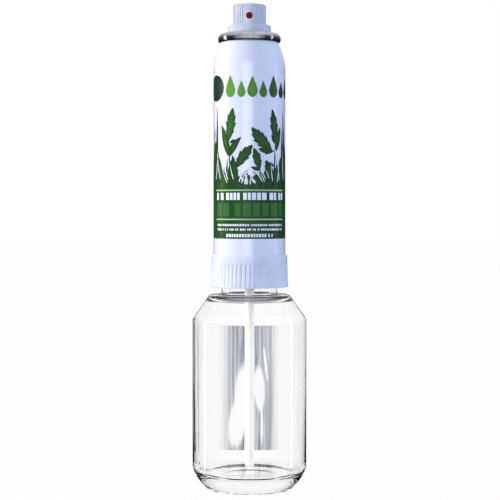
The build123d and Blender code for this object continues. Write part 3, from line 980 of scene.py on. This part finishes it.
@dataclass
class Print:
    """The can's print: a green garden that grows from a green band, ruled lines, bars and water drops.

    The bars stand where the rows of words would be, and the drops where a name would be. None of them
    is a letter.
    """

    radius: float = 19.0
    film: float = 0.05
    columns: int = 180
    band: tuple[float, float] = (132.0, 161.5)
    rules: tuple[float, float] = (142.1, 157.2)
    rule_width: float = 0.75
    rule_reach: float = 21.4
    block_run: float = 0.7
    over: float = 1.6
    wide_share: float = 0.18
    wide_gap: float = 3.2
    seed: int = 7
    body: str = "power_unit"
    green: Ink = Ink("printed_green_ink", "#0f3812", "#42742c")
    pale: Ink = Ink("printed_pale_green_ink", "#9cc98a", "#b5d9a4")
    leaf: Ink = Ink("printed_leaf_green_ink", "#2a6424", "#447f34")
    white: Ink = Ink("printed_white_ink", "#eef4ee", "#ffffff")
    fade: Ink = Ink("printed_drop_green_ink", "#0d3420", "#67a333")
    lines: tuple[tuple[Ink, tuple[float, ...]], ...] = (
        (white, (-20.6, 21.4, 152.2, 155.9, 1.4, 2.6, 0.55)),
        (leaf, (-20.6, 21.4, 143.6, 150.6, 3.2, 5.0, 1.0)),
        (white, (-20.0, 20.5, 138.6, 139.7, 0.5, 1.1, 0.28)),
        (white, (-20.0, 20.5, 136.3, 137.4, 0.5, 1.1, 0.28)),
        (white, (-13.0, 13.0, 132.9, 134.6, 0.8, 1.4, 0.35)))

    def garden(self) -> list[Shape]:
        """The leaves that rise from the band on the can's front."""
        toothed, leaf, blade = Edge.TOOTHED, Edge.LEAF, Edge.BLADE
        return [Shape(*row) for row in (
            # the tall plant on the left: stem, crown leaf, side leaves
            (blade, -9.6, 160, 25, 1.3, -5, 4, 0.25), (toothed, -11.3, 182.5, 17.5, 6.4, 8, 6, 0.8, 4),
            (leaf, -11.2, 174.5, 12.5, 3.6, 34, 28, 0.35), (leaf, -10.8, 181.8, 3.6, 1.5, 62, -10, 0.1),
            (leaf, -11.4, 174.8, 17.5, 4.2, -17, -8, 0.5),
            # tall blades on the far left
            (blade, -22.6, 160, 41, 4.2, 3, -8, 0.15), (blade, -18.2, 160, 32, 3, -12, 14, 0.3),
            (blade, -27.5, 160, 30, 4.4, 8, -6, 0.1), (toothed, -18, 166, 15, 3.2, -14, -10, 0.3, 4),
            (blade, -14.6, 159.5, 15, 2.2, 9, -16, 0.4),
            # the broad leaf left of the middle
            (toothed, -7.2, 168.5, 15, 6.4, 36, 12, 0.35, 4), (toothed, -7, 162.5, 13, 3.8, -10, -10, 0.3, 3),
            # fern arcs in the middle
            (blade, -6, 161, 9.5, 1.5, 42, 62, 0.1), (blade, -4.8, 160, 8, 1.4, 34, 70, 0.1),
            (blade, -3.4, 160, 6.4, 1.5, 24, 74, 0.15), (leaf, -0.6, 158.6, 7.6, 2.2, -4, 8, 0.15),
            (leaf, 1.6, 158.6, 6, 1.8, 22, 20, 0.15), (blade, 7, 161.5, 8, 1.5, -48, -50, 0.1),
            (blade, 8.8, 161, 7.2, 1.5, -38, -56, 0.1),
            # the two leaves right of the middle
            (toothed, 5.4, 167.5, 12, 5, -15, -10, 0.3, 3), (leaf, 6, 167.8, 5.6, 2, -74, 16, 0.1),
            (blade, 5.8, 159.5, 9, 1.6, -2, 4, 0.1),
            # the tall plant on the right: stem, crown leaf, big leaf, side leaves
            (blade, 13.6, 159.5, 24, 1.6, 3, -2, 0.15), (toothed, 15.4, 181, 18.5, 6, -8, -4, 0.25, 4),
            (toothed, 13, 177.5, 17, 7.4, -44, 22, 0.45, 5), (toothed, 14.2, 177.6, 9.6, 4, -84, 20, 0.35, 2),
            (leaf, 14.4, 181.4, 5, 1.6, -28, -14, 0.05), (leaf, 15.6, 177.5, 13.5, 3.6, 15, 8, 0.3),
            (leaf, 13.8, 169.6, 3.8, 1.5, -52, 10, 0.05), (toothed, 11, 160.5, 12.5, 5.2, -8, -16, 0.4, 4),
            (leaf, 9.6, 169.4, 3.4, 1.2, -20, 0, 0.05),
            # low growth that fills the ground between the plants
            (leaf, -20, 157, 17.5, 9, 4, 0, 0.3), (leaf, -24, 157, 26, 8, 4, 0, 0.15),
            (leaf, -14, 157, 10.5, 6, -6, 0, 0.35), (leaf, -9.4, 157, 17.5, 6.4, 2, 0, 0.3),
            (leaf, -6.4, 157, 8, 5, 10, 0, 0.3), (leaf, 10.8, 157, 14.5, 7, 0, 0, 0.3),
            (leaf, 8, 157, 9, 5, -10, 0, 0.3), (leaf, 15.4, 157, 13.5, 6, 4, 0, 0.3),
            (leaf, 20.5, 157, 18, 8.5, -2, 0, 0.2), (leaf, 24.6, 157, 27, 8, -4, 0, 0.12),
            (leaf, -1.6, 157, 9, 8.5, 0, 0, 0.3), (leaf, 3.6, 157, 8.6, 6.5, 0, 0, 0.3),
            # fine grass between them
            (blade, -15.8, 159, 17, 1.4, -20, 16, 0.3), (blade, -13.4, 159, 13, 1.1, -16, 22, 0.4),
            (blade, -16.6, 159, 13, 1.2, 10, -20, 0.3), (blade, -12.4, 159, 11, 1, 14, -20, 0.3),
            (blade, 17, 159, 15, 1.2, 14, -16, 0.25), (blade, 17.8, 159, 18, 1.3, -8, 14, 0.25),
            (blade, 12.4, 159, 12.5, 1, -20, 18, 0.25), (blade, 10.4, 159, 13, 1, -28, 20, 0.2),
            # tall blades on the far right
            (blade, 18.4, 160, 20, 2.6, 8, -14, 0.3), (blade, 21.8, 160, 30, 3.4, -2, 8, 0.2),
            (blade, 25.4, 160, 40, 4.6, -5, 6, 0.1), (toothed, 21, 164, 13, 3.2, 12, 10, 0.3, 4),
        )]

    def gaps(self) -> list[Shape]:
        """The slivers of bare white that part the low growth."""
        blade, drop = Edge.BLADE, Edge.DROP
        return [Shape(*row) for row in (
            (blade, -11.9, 162.5, 15, 0.9, -14, 14), (blade, -12.3, 161, 13, 0.6, -22, 16),
            (blade, -17.6, 163, 15, 0.8, -12, 6), (blade, -21.8, 163, 18, 0.8, 8, -6),
            (blade, -8.6, 163, 9, 0.7, -14, 10), (drop, -1.4, 160, 6, 1.8, -4, 4),
            (drop, 3.2, 160.8, 4.6, 1.5, -38, 10), (blade, -3, 162.2, 6.5, 1.2, -20, 60),
            (blade, 8.6, 163, 6.5, 0.6, -30, -16), (blade, 10.6, 163.4, 6, 0.6, -26, -18),
            (blade, 13, 162, 10, 0.7, -6, 8), (blade, 18.2, 162.5, 13, 0.8, -6, 12),
            (blade, -5.4, 161.6, 9.4, 0.9, 40, 58), (blade, -4, 160.8, 7.6, 0.8, 32, 62),
            (blade, -2.4, 160.4, 6.2, 0.8, 24, 66), (blade, 6.6, 161.8, 7.4, 0.8, -44, -48),
            (blade, 8, 161.4, 7, 0.7, -38, -52), (blade, 0.4, 160.2, 5.6, 0.8, 10, 20),
            (blade, 16.4, 161.5, 11, 0.7, 8, -8), (blade, 22.4, 163, 18, 0.8, -4, 6),
        )]

    def drops(self) -> list[Shape]:
        """The row of water drops near the shoulder, which pass from light to dark green."""
        plan = [(-10.4, 11.6, 5.8, 1.0), (-4.2, 8.6, 4.4, 0.86), (1.6, 11.0, 5.6, 0.7), (7.4, 8.6, 4.4, 0.46),
                (13.6, 11.6, 5.8, 0.2), (19.8, 8.6, 4.4, 0.05), (25.6, 11.0, 5.4, 0.0)]
        spot = Shape(Edge.DISC, -21.8, 203.4, 14.2, 14.2, 0.0, 0.0, -0.1)
        return [spot, *[Shape(Edge.DROP, x, 205.2, length, width, 0.0, 0.0, tone) for x, length, width, tone in plan]]

    def bars(self, rng: random.Random, line: tuple[float, ...], shift: float) -> list[tuple[float, ...]]:
        """A row of upright blocks that stands for a line of print.

        Args:
            rng: where the widths come from, seeded by the caller.
            line: the row's left, right, foot and top, its narrowest and widest block, and the gap between two.
            shift: how far round the wall the row is moved.

        Returns:
            Each block as left, right, low and high.
        """
        left, right, low, high, narrow, wide, gap = line
        blocks, x = [], shift + left
        while x < shift + right:
            width = rng.uniform(narrow, wide)
            blocks.append((x, min(x + width, shift + right), low, high))
            x += width + (gap if rng.random() > self.wide_share else gap * self.wide_gap)
        return blocks

    def grid(self, across: int, up: int) -> tuple[Piece, bpy.types.Attribute]:
        """A flat sheet of points, and the tone that each of them has."""
        select_nothing()
        bpy.ops.mesh.primitive_grid_add(x_subdivisions=across, y_subdivisions=up, size=1)
        sheet = bpy.context.object
        return sheet, sheet.data.attributes.new("tone", "FLOAT", "POINT")

    def rolled(self, around: float, height: float, layer: float) -> Vector:
        """Where a point of the print lies when it is rolled onto the wall, layer films above the lacquer."""
        turned, lift = around / self.radius, (self.radius + self.film * layer) * MM
        return Vector((sin(turned) * lift, -cos(turned) * lift, height * MM))

    def stencil(self, shape: Shape, layer: float = 1.0) -> Piece:
        """Lays out one leaf or drop as a sheet of points, and rolls it onto the wall.

        Args:
            shape: the shape and where it goes.
            layer: how many films above the lacquer it lies.

        Returns:
            The sheet, with a tone at each point.
        """
        rows, sides = shape.rows(), 6
        sheet, tone = self.grid(sides, len(rows) - 1)
        points = sorted(sheet.data.vertices, key=lambda v: (round(v.co.y, 5), round(v.co.x, 5)))
        for i, point in enumerate(points):
            t, across = rows[i // (sides + 1)], 2 * (i % (sides + 1)) / sides - 1
            point.co = self.rolled(*shape.place(t, across), layer)
            middle = (1 - abs(across)) * sin(pi * min(1.0, t + 0.1))
            level = 1.0 if shape.edge in (Edge.DROP, Edge.DISC) else 0.35 + 0.9 * middle
            tone.data[point.index].value = shape.tone * level
        return sheet

    def block(self, left: float, right: float, low: float, high: float, tone: float) -> Piece:
        """Lays out one printed block and rolls it onto the wall."""
        sheet, shade = self.grid(max(1, int((right - left) / self.block_run)), 1)
        for point in sheet.data.vertices:
            around = left + (point.co.x + 0.5) * (right - left)
            point.co = self.rolled(around, low + (point.co.y + 0.5) * (high - low), self.over)
            shade.data[point.index].value = tone
        return sheet

    def hoop(self, name: str, low: float, high: float, layer: float, tone: float) -> Piece:
        """A printed hoop that goes all the way round the wall."""
        rows, radius = 10, self.radius + self.film * layer
        corners = [Corner(radius, low + (high - low) * i / rows) for i in range(rows + 1)]
        piece = turn(name, corners, Ends.OPEN, segments=self.columns)
        shade = piece.data.attributes.new("tone", "FLOAT", "POINT")
        for point in piece.data.vertices:
            shade.data[point.index].value = tone
        return piece

    def face_out(self, piece: Piece) -> None:
        """Turns the faces that look at the axis outwards."""
        faces = piece.data.polygons
        inward = [p.index for p in faces if p.normal.x * p.center.x + p.normal.y * p.center.y < 0]
        if inward:
            with editing(piece):
                bpy.ops.mesh.select_mode(type="FACE")
                bpy.ops.mesh.select_all(action="DESELECT")
                edit = bmesh.from_edit_mesh(piece.data)
                edit.faces.ensure_lookup_table()
                for index in inward:
                    edit.faces[index].select = True
                bmesh.update_edit_mesh(piece.data)
                bpy.ops.mesh.flip_normals()

    def build(self) -> list[tuple[Piece, Ink]]:
        """Makes every printed piece, front and back.

        Returns:
            Each piece with its ink.
        """
        rng = random.Random(self.seed)
        half_round = pi * self.radius
        garden, drops, gaps = self.garden(), self.drops(), self.gaps()
        band = self.hoop("band", *self.band, 0.8, 0.22)
        leaves = [self.stencil(shape) for shape in [*garden, *mirrored(garden, half_round)]]
        leaves = join([band, *leaves], "print_garden")
        half = self.rule_width / 2
        rules = [self.block(start - self.rule_reach, start + self.rule_reach, z - half, z + half, 0.5)
                 for z in self.rules for start in (0.0, half_round)]
        rules = join(rules, "print_rules")
        rows = {self.white: [], self.leaf: []}
        for start in (0.0, half_round):
            for ink, line in self.lines:
                rows[ink] += self.bars(rng, line, start)
        white = join([self.block(*b, 0.7) for b in rows[self.white]], "print_white_bars")
        parting = join([self.stencil(s, self.over) for s in [*gaps, *mirrored(gaps, half_round)]], "print_white_gaps")
        middle = join([self.block(*b, 0.4) for b in rows[self.leaf]], "print_green_bars")
        heading = join([self.stencil(s) for s in [*drops, *mirrored(drops, half_round)]], "print_drops")
        return [(leaves, self.green), (rules, self.pale), (white, self.white), (parting, self.white),
                (middle, self.leaf), (heading, self.fade)]

    def dress(self, pieces: list[tuple[Piece, Ink]]) -> None:
        """Faces each printed piece outwards, gives it its ink, and puts it on the can."""
        for piece, ink in pieces:
            self.face_out(piece)
            smooth(piece, 30.0)
            set_down(piece, ink, self.body)


# ---------------------------------------------------------------- the valve cup


@dataclass
class ValveCup:
    """The tinplate cup, whose edge is curled over the can's bead."""

    sheet: float = 0.45
    hole_radius: float = 2.6
    pedestal_radius: float = 5.45
    pedestal_height: float = 6.5
    depth: float = 8.2
    wall_radius: float = 11.85
    clinch: float = 1.0
    curl_radius: float = 2.35
    lip_angle: int = 46
    lip_drop: float = 0.8
    body: str = "power_unit"
    metal: RolledTinplate = RolledTinplate("rolled_tinplate")

    def build(self) -> Piece:
        """Turns the cup's upper face, then gives the sheet its thickness.

        Returns:
            The piece that stands for the cup.
        """
        _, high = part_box("valve_cup")
        top = high.z / MM
        reach = high.x / MM
        floor = top - self.depth
        curl_z, curl_r = top - self.curl_radius, reach - self.curl_radius
        curl = [
            Corner(curl_r + self.curl_radius * cos(radians(a)),
                   curl_z + self.curl_radius * sin(radians(a)) - (self.lip_drop if a < 0 else 0.0))
            for a in [*range(172, 0, -8), 0, -6, *range(-12, -self.lip_angle - 1, -8)]
        ]
        corners = [
            Corner(self.hole_radius, floor + self.pedestal_height),
            Corner(self.pedestal_radius, floor + self.pedestal_height, 0.7),
            Corner(self.pedestal_radius + 0.3, floor, 0.8),
            Corner(self.wall_radius - 0.2, floor, 0.8),
            Corner(self.wall_radius + self.clinch, floor + 2.2, 0.7),
            Corner(self.wall_radius, floor + 4.4, 0.9),
            Corner(self.wall_radius, curl_z),
            *curl,
        ]
        piece = turn("cup_metal", corners, Ends.OPEN, segments=192)
        if max(piece.data.polygons, key=lambda p: p.center.z).normal.z < 0:
            with editing(piece):
                bpy.ops.mesh.flip_normals()
        modify(piece, "SOLIDIFY", thickness=self.sheet * MM, offset=-1.0)
        smooth(piece, 40.0)
        return piece

    def dress(self, piece: Piece) -> None:
        """Gives the cup its metal, and puts it on its body."""
        set_down(piece, self.metal, self.body, "valve_cup")


# ---------------------------------------------------------------- the spray button


@dataclass
class SprayButton:
    """The white spray button with its ribbed drum, and the red nozzle in its front."""

    skirt_radius: float = 11.4
    skirt_wall: float = 1.2
    skirt_round: float = 0.8
    drum_radius: float = 8.75
    drum_height: float = 10.7
    drum_round: float = 0.5
    dish_margin: float = 1.2
    dish_depth: float = 0.4
    column_radius: float = 3.3
    column_reach: float = 1.6
    socket_radius: float = 2.02
    socket_top: float = 246.62
    rib_pitch: float = 8.0
    rib_depth: float = 0.36
    rib_lift: float = 0.4
    panel_half_angle: float = 24.0
    segments: int = 450
    nozzle_height: float = 4.4
    nozzle_radius: float = 1.8
    nozzle_length: float = 2.6
    nozzle_recess: float = 0.25
    nozzle_play: float = 0.03
    body: str = "actuator"
    plastic: Moulded = Moulded("moulded_white_acetal", "#d9dbe1", "#d1d3da", 0.27)
    red: Moulded = Moulded("moulded_red_acetal", "#8e1412", "#7a0f10", 0.33, 0.2, 0.000004, 0.0)

    def build_button(self) -> Piece:
        """Turns the button, presses its ribs in, and bores the nozzle's seat.

        Returns:
            The piece that stands for the button.
        """
        low, high = (corner.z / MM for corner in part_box("actuator_button"))
        skirt_top = high - self.drum_height
        roof = skirt_top - self.skirt_wall
        drum_foot = skirt_top + self.rib_lift
        dish_edge = Corner(self.drum_radius - self.dish_margin, high)
        dish = arc(Corner(0.0, high - self.dish_depth), dish_edge, (1, 0), 5)
        corners = [
            Corner(0.4, self.socket_top),
            Corner(self.socket_radius, self.socket_top),
            Corner(self.socket_radius, roof - self.column_reach),
            Corner(self.column_radius, roof - self.column_reach, 0.2),
            Corner(self.column_radius, roof),
            Corner(self.skirt_radius - self.skirt_wall, roof),
            Corner(self.skirt_radius - self.skirt_wall, low, 0.2),
            Corner(self.skirt_radius, low, 0.2),
            Corner(self.skirt_radius, skirt_top, self.skirt_round),
            Corner(self.drum_radius, skirt_top, 0.3),
            Corner(self.drum_radius, drum_foot - 0.04),
            Corner(self.drum_radius, drum_foot),
            Corner(self.drum_radius, high, self.drum_round),
            *reversed(dish),
            Corner(0.4, high - self.dish_depth),
        ]
        piece = turn("spray_button", corners, Ends.POLES, segments=self.segments)
        first = -90.0 + self.panel_half_angle
        column = 360.0 / self.segments

        def in_rib(co: Vector) -> bool:
            """Whether a point of the drum is within a groove between two ribs."""
            angle, radius, height = polar(co)
            if height < drum_foot - 0.01 or radius < self.drum_radius - self.drum_round - 0.02:
                return False
            away = (angle + 90.0 + 180.0) % 360.0 - 180.0
            if abs(away) < self.panel_half_angle - column:
                return False
            place = (angle - first) % self.rib_pitch
            return min(place, self.rib_pitch - place) < column * 1.1

        with editing(piece):
            press(piece, in_rib, self.rib_depth, self.drum_radius)
        select_nothing()
        bpy.ops.mesh.primitive_cylinder_add(
            vertices=64, radius=(self.nozzle_radius + self.nozzle_play) * MM,
            depth=2 * (self.nozzle_length + self.nozzle_recess) * MM,
            location=(0, -self.drum_radius * MM, (skirt_top + self.nozzle_height) * MM), rotation=(pi / 2, 0, 0))
        combine(piece, settle(bpy.context.object), "DIFFERENCE")
        smooth(piece, 35.0)
        return piece

    def build_nozzle(self) -> Piece:
        """Makes the red insert: a round plug with a swirl dish and a small orifice.

        Returns:
            The piece that stands for the nozzle.
        """
        low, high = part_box("nozzle_insert")
        face, back = -low.y / MM, -high.y / MM
        height = (low.z + high.z) / 2
        length = face - back
        corners = [
            Corner(0.05, 0.0),
            Corner(self.nozzle_radius, 0.0, 0.1),
            Corner(self.nozzle_radius, length, 0.3),
            Corner(1.25, length, 0.08),
            Corner(1.1, length - 0.12, 0.08),
            Corner(0.3, length - 0.75, 0.05),
            Corner(0.3, length - 1.6),
            Corner(0.05, length - 1.6),
        ]
        piece = turn("red_nozzle", corners, Ends.POLES, segments=96, steps=4)
        piece.rotation_euler = (pi / 2, 0, 0)
        piece.location = (0, -back * MM, height)
        settle(piece)
        smooth(piece, 35.0)
        return piece

    def build(self) -> tuple[Piece, Piece]:
        """Makes the button and its nozzle."""
        return self.build_button(), self.build_nozzle()

    def dress(self, pieces: tuple[Piece, Piece]) -> None:
        """Gives both pieces their plastics, and puts them on their body."""
        set_down(pieces[0], self.plastic, self.body, "actuator_button")
        set_down(pieces[1], self.red, self.body, "nozzle_insert")


# ---------------------------------------------------------------- the dip tube and what is hidden


@dataclass
class DipTube:
    """The milky tube that reaches from the can's foot to the jar's floor."""

    wall: float = 0.8
    body: str = "power_unit"
    plastic: ExtrudedTube = ExtrudedTube("extruded_polyethylene")

    def build(self) -> Piece:
        """Turns the tube, with its cut ends just broken.

        Returns:
            The piece that stands for the dip tube.
        """
        low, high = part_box("dip_tube")
        radius = (high.x - low.x) / 2 / MM
        bottom, top = low.z / MM, high.z / MM
        corners = [
            Corner(radius - self.wall, bottom, 0.1),
            Corner(radius, bottom, 0.15),
            Corner(radius, top, 0.15),
            Corner(radius - self.wall, top, 0.1),
        ]
        piece = turn("dip_tube_visual", corners, Ends.LOOPED, segments=64, steps=3)
        smooth(piece, 35.0)
        return piece

    def dress(self, piece: Piece) -> None:
        """Gives the tube its plastic, and puts it on its body."""
        set_down(piece, self.plastic, self.body, "dip_tube")


@dataclass
class HiddenParts:
    """The carried-over parts inside the can, under the button and in the collar, each with its own finish."""

    finishes: dict[str, Finish] = field(default_factory=lambda: {
        "jar_gasket": Rubber("foamed_polyethylene_liner", "#dcdcd8", "#efefec", 0.62),
        "cup_gasket": Rubber("sprayed_cup_sealant", "#3a3733", "#55504a", 0.6),
        "stem_gasket": Rubber("punched_nitrile_rubber"),
        "tail_gasket": Rubber("punched_tail_rubber", "#1d1d20", "#343438", 0.7),
        "valve_housing": Moulded("moulded_natural_acetal", "#ecebe4", "#e2e0d8", 0.4),
        "venturi_jet": Moulded("moulded_jet_acetal", "#e4e6ea", "#d9dbe0", 0.35),
        "valve_stem": Moulded("moulded_stem_acetal", "#efeee8", "#e3e2da", 0.35),
        "tail_fitting": Moulded("moulded_tail_acetal", "#efeff3", "#e6e6ec", 0.38),
        "return_spring": DrawnSteel("drawn_spring_steel"),
        "retaining_ring": DrawnSteel("punched_ring_steel", "#c3c4c8", 0.24),
        "product_tube": ExtrudedTube("extruded_inner_tube"),
    })

    def dress(self, nodes: dict[str, Piece]) -> None:
        """Assigns each node's finish to its material slots."""
        for name, finish in self.finishes.items():
            finish.put_on_slots(nodes[name])


# ---------------------------------------------------------------- the studio


@dataclass
class Studio:
    """A pale floor with a painted contact shadow, soft light from the left, a cool fill from the right, the camera, and
    glowing cards that paint reflection and shade into the jar's glass.
    """

    lens: float = 108.7
    distance: float = 0.8
    camera_height: float = 0.147
    camera_pitch: float = 1.52
    ambient: str = "#b5bddf"
    gloss: str = "#4a5260"
    behind: float = 0.036
    aim: float = 0.13
    floor_drop: float = 0.0002
    white_parts: tuple[str, ...] = ("can_shell", "collar_shell", "spray_button")
    # bright gaps in the painted streak card: middle x and z, size across and up in mm, lean in degrees
    flames: tuple[tuple[float, float, float, float, float], ...] = (
        (-4.6, 43.0, 5.0, 20.0, 3.0), (-7.0, 28.0, 6.4, 18.0, 9.0), (5.9, 47.0, 3.8, 15.0, -3.0),
        (7.2, 28.0, 0.9, 16.0, 0.0), (9.6, 61.0, 0.9, 12.0, -8.0))

    def world(self) -> None:
        """A white surround for what is seen, a cool one for soft light, and a dim one for reflections."""
        sky = bpy.data.worlds.new("studio")
        bpy.context.scene.world = sky
        sky.use_nodes = True
        tree = Tree(sky.node_tree)
        rays = tree.add("LightPath").outputs
        sides = tree.add("SeparateXYZ", {"Vector": tree.add("TexCoord").outputs["Generated"]}).outputs
        rise = tree.ramp(sides["Z"], (0.0, "#1c1e24"), (0.1, self.gloss), (0.45, "#c9cede"), (1.0, "#f4f6ff"))
        front = tree.maths("MULTIPLY", tree.span(sides["Y"], 0.9, 0.0, -1.0, -0.45),
                           tree.span(sides["Z"], 0.0, 1.0, -0.8, -0.5))
        back = tree.maths("MULTIPLY", tree.span(sides["Y"], 0.0, 1.0, 0.75, 0.92),
                          tree.span(sides["Z"], 0.0, 1.0, 0.1, 0.2))
        around = tree.blend(back, tree.blend(front, rise, linear("#e6e9f6")), linear("#f4f6ff"))
        kept = tree.maths("SUBTRACT", 1.0, rays["Is Transmission Ray"])
        mirrored_only = tree.maths("MULTIPLY", rays["Is Glossy Ray"], kept)
        soft = tree.mix(rays["Is Diffuse Ray"], tree.glow((1, 1, 1, 1), "Background"),
                        tree.glow(linear(self.ambient), "Background"))
        tree.add("OutputWorld", {"Surface": tree.mix(mirrored_only, soft, tree.glow(around, "Background"))})

    def lamp(self, name: str, azimuth: float, distance: float, height: float, size: tuple[float, float],
             power: float, colour: str, seen_in_gloss: bool, seen_in_matt: bool = True) -> Piece:
        """Hangs a soft box that faces the object.

        Args:
            name: the lamp's name.
            azimuth: degrees round the object from the camera, left being negative.
            distance: metres from the axis.
            height: metres above the floor.
            size: width and height, in metres.
            power: in watts.
            colour: sRGB hex.
            seen_in_gloss: whether glossy surfaces mirror it.
            seen_in_matt: whether matt surfaces are lit by it.

        Returns:
            The lamp.
        """
        turned = radians(azimuth)
        select_nothing()
        bpy.ops.object.light_add(type="AREA", location=(sin(turned) * distance, -cos(turned) * distance, height))
        lamp = bpy.context.object
        lamp.name = name
        lamp.data.shape = "RECTANGLE"
        lamp.data.size, lamp.data.size_y = size
        lamp.data.energy = power
        lamp.data.color = linear(colour)[:3]
        lamp.rotation_euler = (Vector((0, 0, self.aim)) - lamp.location).to_track_quat("-Z", "Y").to_euler()
        lamp.visible_glossy = seen_in_gloss
        lamp.visible_diffuse = seen_in_matt
        lamp.visible_camera = False
        lamp.visible_transmission = False
        return lamp

    def card(self, name: str, place: tuple[float, float, float], size: tuple[float, float],
             surface: Callable[[Tree], Socket]) -> None:
        """Stands an upright glowing card behind the jar, which is seen through glass alone and paints reflection and
        shade into it.

        Args:
            name: the card's name, and its material's.
            place: its middle, in metres.
            size: its width and height, in metres.
            surface: builds what it shows.
        """
        select_nothing()
        bpy.ops.mesh.primitive_plane_add(size=1, location=place)
        card = bpy.context.object
        card.name = name
        card.scale = (*size, 1)
        card.rotation_euler = (pi / 2, 0, 0)
        settle(card)
        for ray in ("camera", "diffuse", "shadow", "glossy"):
            setattr(card, "visible_" + ray, False)
        card.data.materials.append(painted(name, surface))

    def streaks(self, tree: Tree) -> Socket:
        """Painted reflection: glowing grey upright streaks, broken by bare flames, on a card that the jar's clear walls
        show, seen through glass alone.
        """
        place = tree.place()
        across = tree.span(tree.add("SeparateXYZ", {"Vector": place}).outputs["X"], 0.0, 1.0, -0.02, 0.02)
        columns = tree.ramp(across, (0.0, "#000000"), (0.05, "#404040"), (0.1, "#8c8c8c"), (0.17, "#a4a4a4"),
                            (0.215, "#f4f4f4"), (0.44, "#ffffff"), (0.452, "#000000"), (0.565, "#000000"),
                            (0.58, "#ffffff"), (0.73, "#f8f8f8"), (0.82, "#e0e0e0"), (0.9, "#8c8c8c"),
                            (0.96, "#000000"))
        noise = tree.noise(tree.place((1, 1, 0.02)), 1.7, 3.0, 0.6)
        cover = tree.maths("MULTIPLY", columns, tree.span(noise, 0.7, 1.0, 0.36, 0.58))
        for x, z, wide, tall, lean in self.flames:
            local = tree.add("Mapping", {
                "Vector": place, "Location": (x * MM, self.behind, z * MM), "Rotation": (0, radians(lean), 0),
                "Scale": (wide * MM, 1.0, tall * MM)}, vector_type="TEXTURE").outputs["Vector"]
            bright = tree.add("TexGradient", {"Vector": local}, gradient_type="SPHERICAL").outputs["Fac"]
            cover = tree.maths("MULTIPLY", cover, tree.span(bright, 1.0, 0.02, 0.0, 0.3))
        # painted reflection: the grey that the streaks glow with
        shade = tree.ramp(noise, (0.36, "#b0b4c2"), (0.48, "#8a8f9c"), (0.6, "#656a76"))
        return tree.mix(cover, tree.add("BsdfTransparent").outputs[0], tree.glow(shade))

    def pale(self, tree: Tree) -> Socket:
        """Almost as bright as the surround, with a broken dark line of painted contact shadow where the jar's ring
        stands.
        """
        place = tree.place()
        away = tree.add("VectorMath", {0: place}, operation="LENGTH").outputs["Value"]
        # painted contact shadow: a dark ring where the jar's standing ring meets the floor, broken by noise
        ring = tree.ramp(tree.span(away, 0.0, 1.0, 0.0, 0.04), (0.0, "#000000"), (0.53, "#000000"),
                         (0.55, "#f0f0f0"), (0.575, "#e8e8e8"), (0.595, "#000000"))
        dark = tree.maths("MULTIPLY", ring, tree.span(tree.noise(place, 3.2, 2.0), 0.0, 1.0, 0.45, 0.53))
        matt = tree.add("BsdfDiffuse", {"Color": (0.9, 0.9, 0.9, 1)}).outputs[0]
        return tree.mix(0.97, matt, tree.glow(tree.blend(dark, (1, 1, 1, 1), linear("#20252c"))))

    def floor(self) -> None:
        """A wide, pale floor just under the jar."""
        select_nothing()
        bpy.ops.mesh.primitive_plane_add(size=12, location=(0, 0, -self.floor_drop))
        ground = bpy.context.object
        ground.name = "studio_floor"
        ground.data.materials.append(painted("pale_floor_painted_shadow", self.pale))
        ground.visible_glossy = False
        ground.visible_diffuse = False

    def camera(self) -> None:
        """Sets the camera in front of the object, level with the can's middle."""
        select_nothing()
        bpy.ops.object.camera_add(location=(0.0003, -self.distance, self.camera_height),
                                  rotation=(radians(90 - self.camera_pitch), 0, 0))
        eye = bpy.context.object
        eye.name = "camera"
        eye.data.lens = self.lens
        eye.data.sensor_width = 36
        eye.data.clip_start = 0.01
        bpy.context.scene.camera = eye

    def build(self) -> None:
        """Sets up the whole studio."""
        bpy.context.scene.view_settings.view_transform = "Standard"
        self.world()
        self.floor()
        self.camera()
        self.lamp("key", -79, 1.0, 0.22, (0.16, 0.7), 10.8, "#fffcf2", False)
        self.lamp("fill", 70, 1.0, 0.15, (0.4, 0.6), 3.4, "#a8d2ff", False)
        strip = self.lamp("front_strip", -5, 1.0, 0.27, (0.52, 0.5), 2.4, "#ccfdff", True, False)
        white_parts = bpy.data.collections.new("white_parts")
        for name in self.white_parts:
            white_parts.objects.link(bpy.data.objects[name])
        strip.light_linking.receiver_collection = white_parts
        self.lamp("left_strip", -100, 0.9, 0.16, (0.05, 0.6), 0.9, "#fff2ec", True, False)
        self.lamp("right_strip", 92, 0.9, 0.16, (0.05, 0.6), 0.35, "#f2f0ff", True, False)
        # painted reflection: a glowing grey card behind the jar, seen through the glass alone, gives the streaks in the
        # jar's walls
        self.card("streak_sheet", (0, self.behind, 0.0475), (0.05, 0.072), self.streaks)
        # painted shade: a glowing slate card, seen through the glass alone, darkens the jar's left edge
        self.card("dark_flag", (-0.0445, 0.035, 0.05), (0.008, 0.088), lambda tree: tree.glow(linear("#333b47")))


# ---------------------------------------------------------------- the whole object


def main() -> None:
    """Builds and dresses the object piece by piece, and sets it in its studio."""
    logging.basicConfig(level=logging.INFO, format="%(message)s")
    for part in (Jar(), ScrewCollar(), Can(), ValveCup(), SprayButton(), DipTube(), Print()):
        part.dress(part.build())
        log.info("%s: built and dressed", type(part).__name__)
    HiddenParts().dress(frame["nodes"])
    log.info("hidden parts: dressed")
    Studio().build()
    log.info("studio: set")


if __name__ == "__main__":
    main()
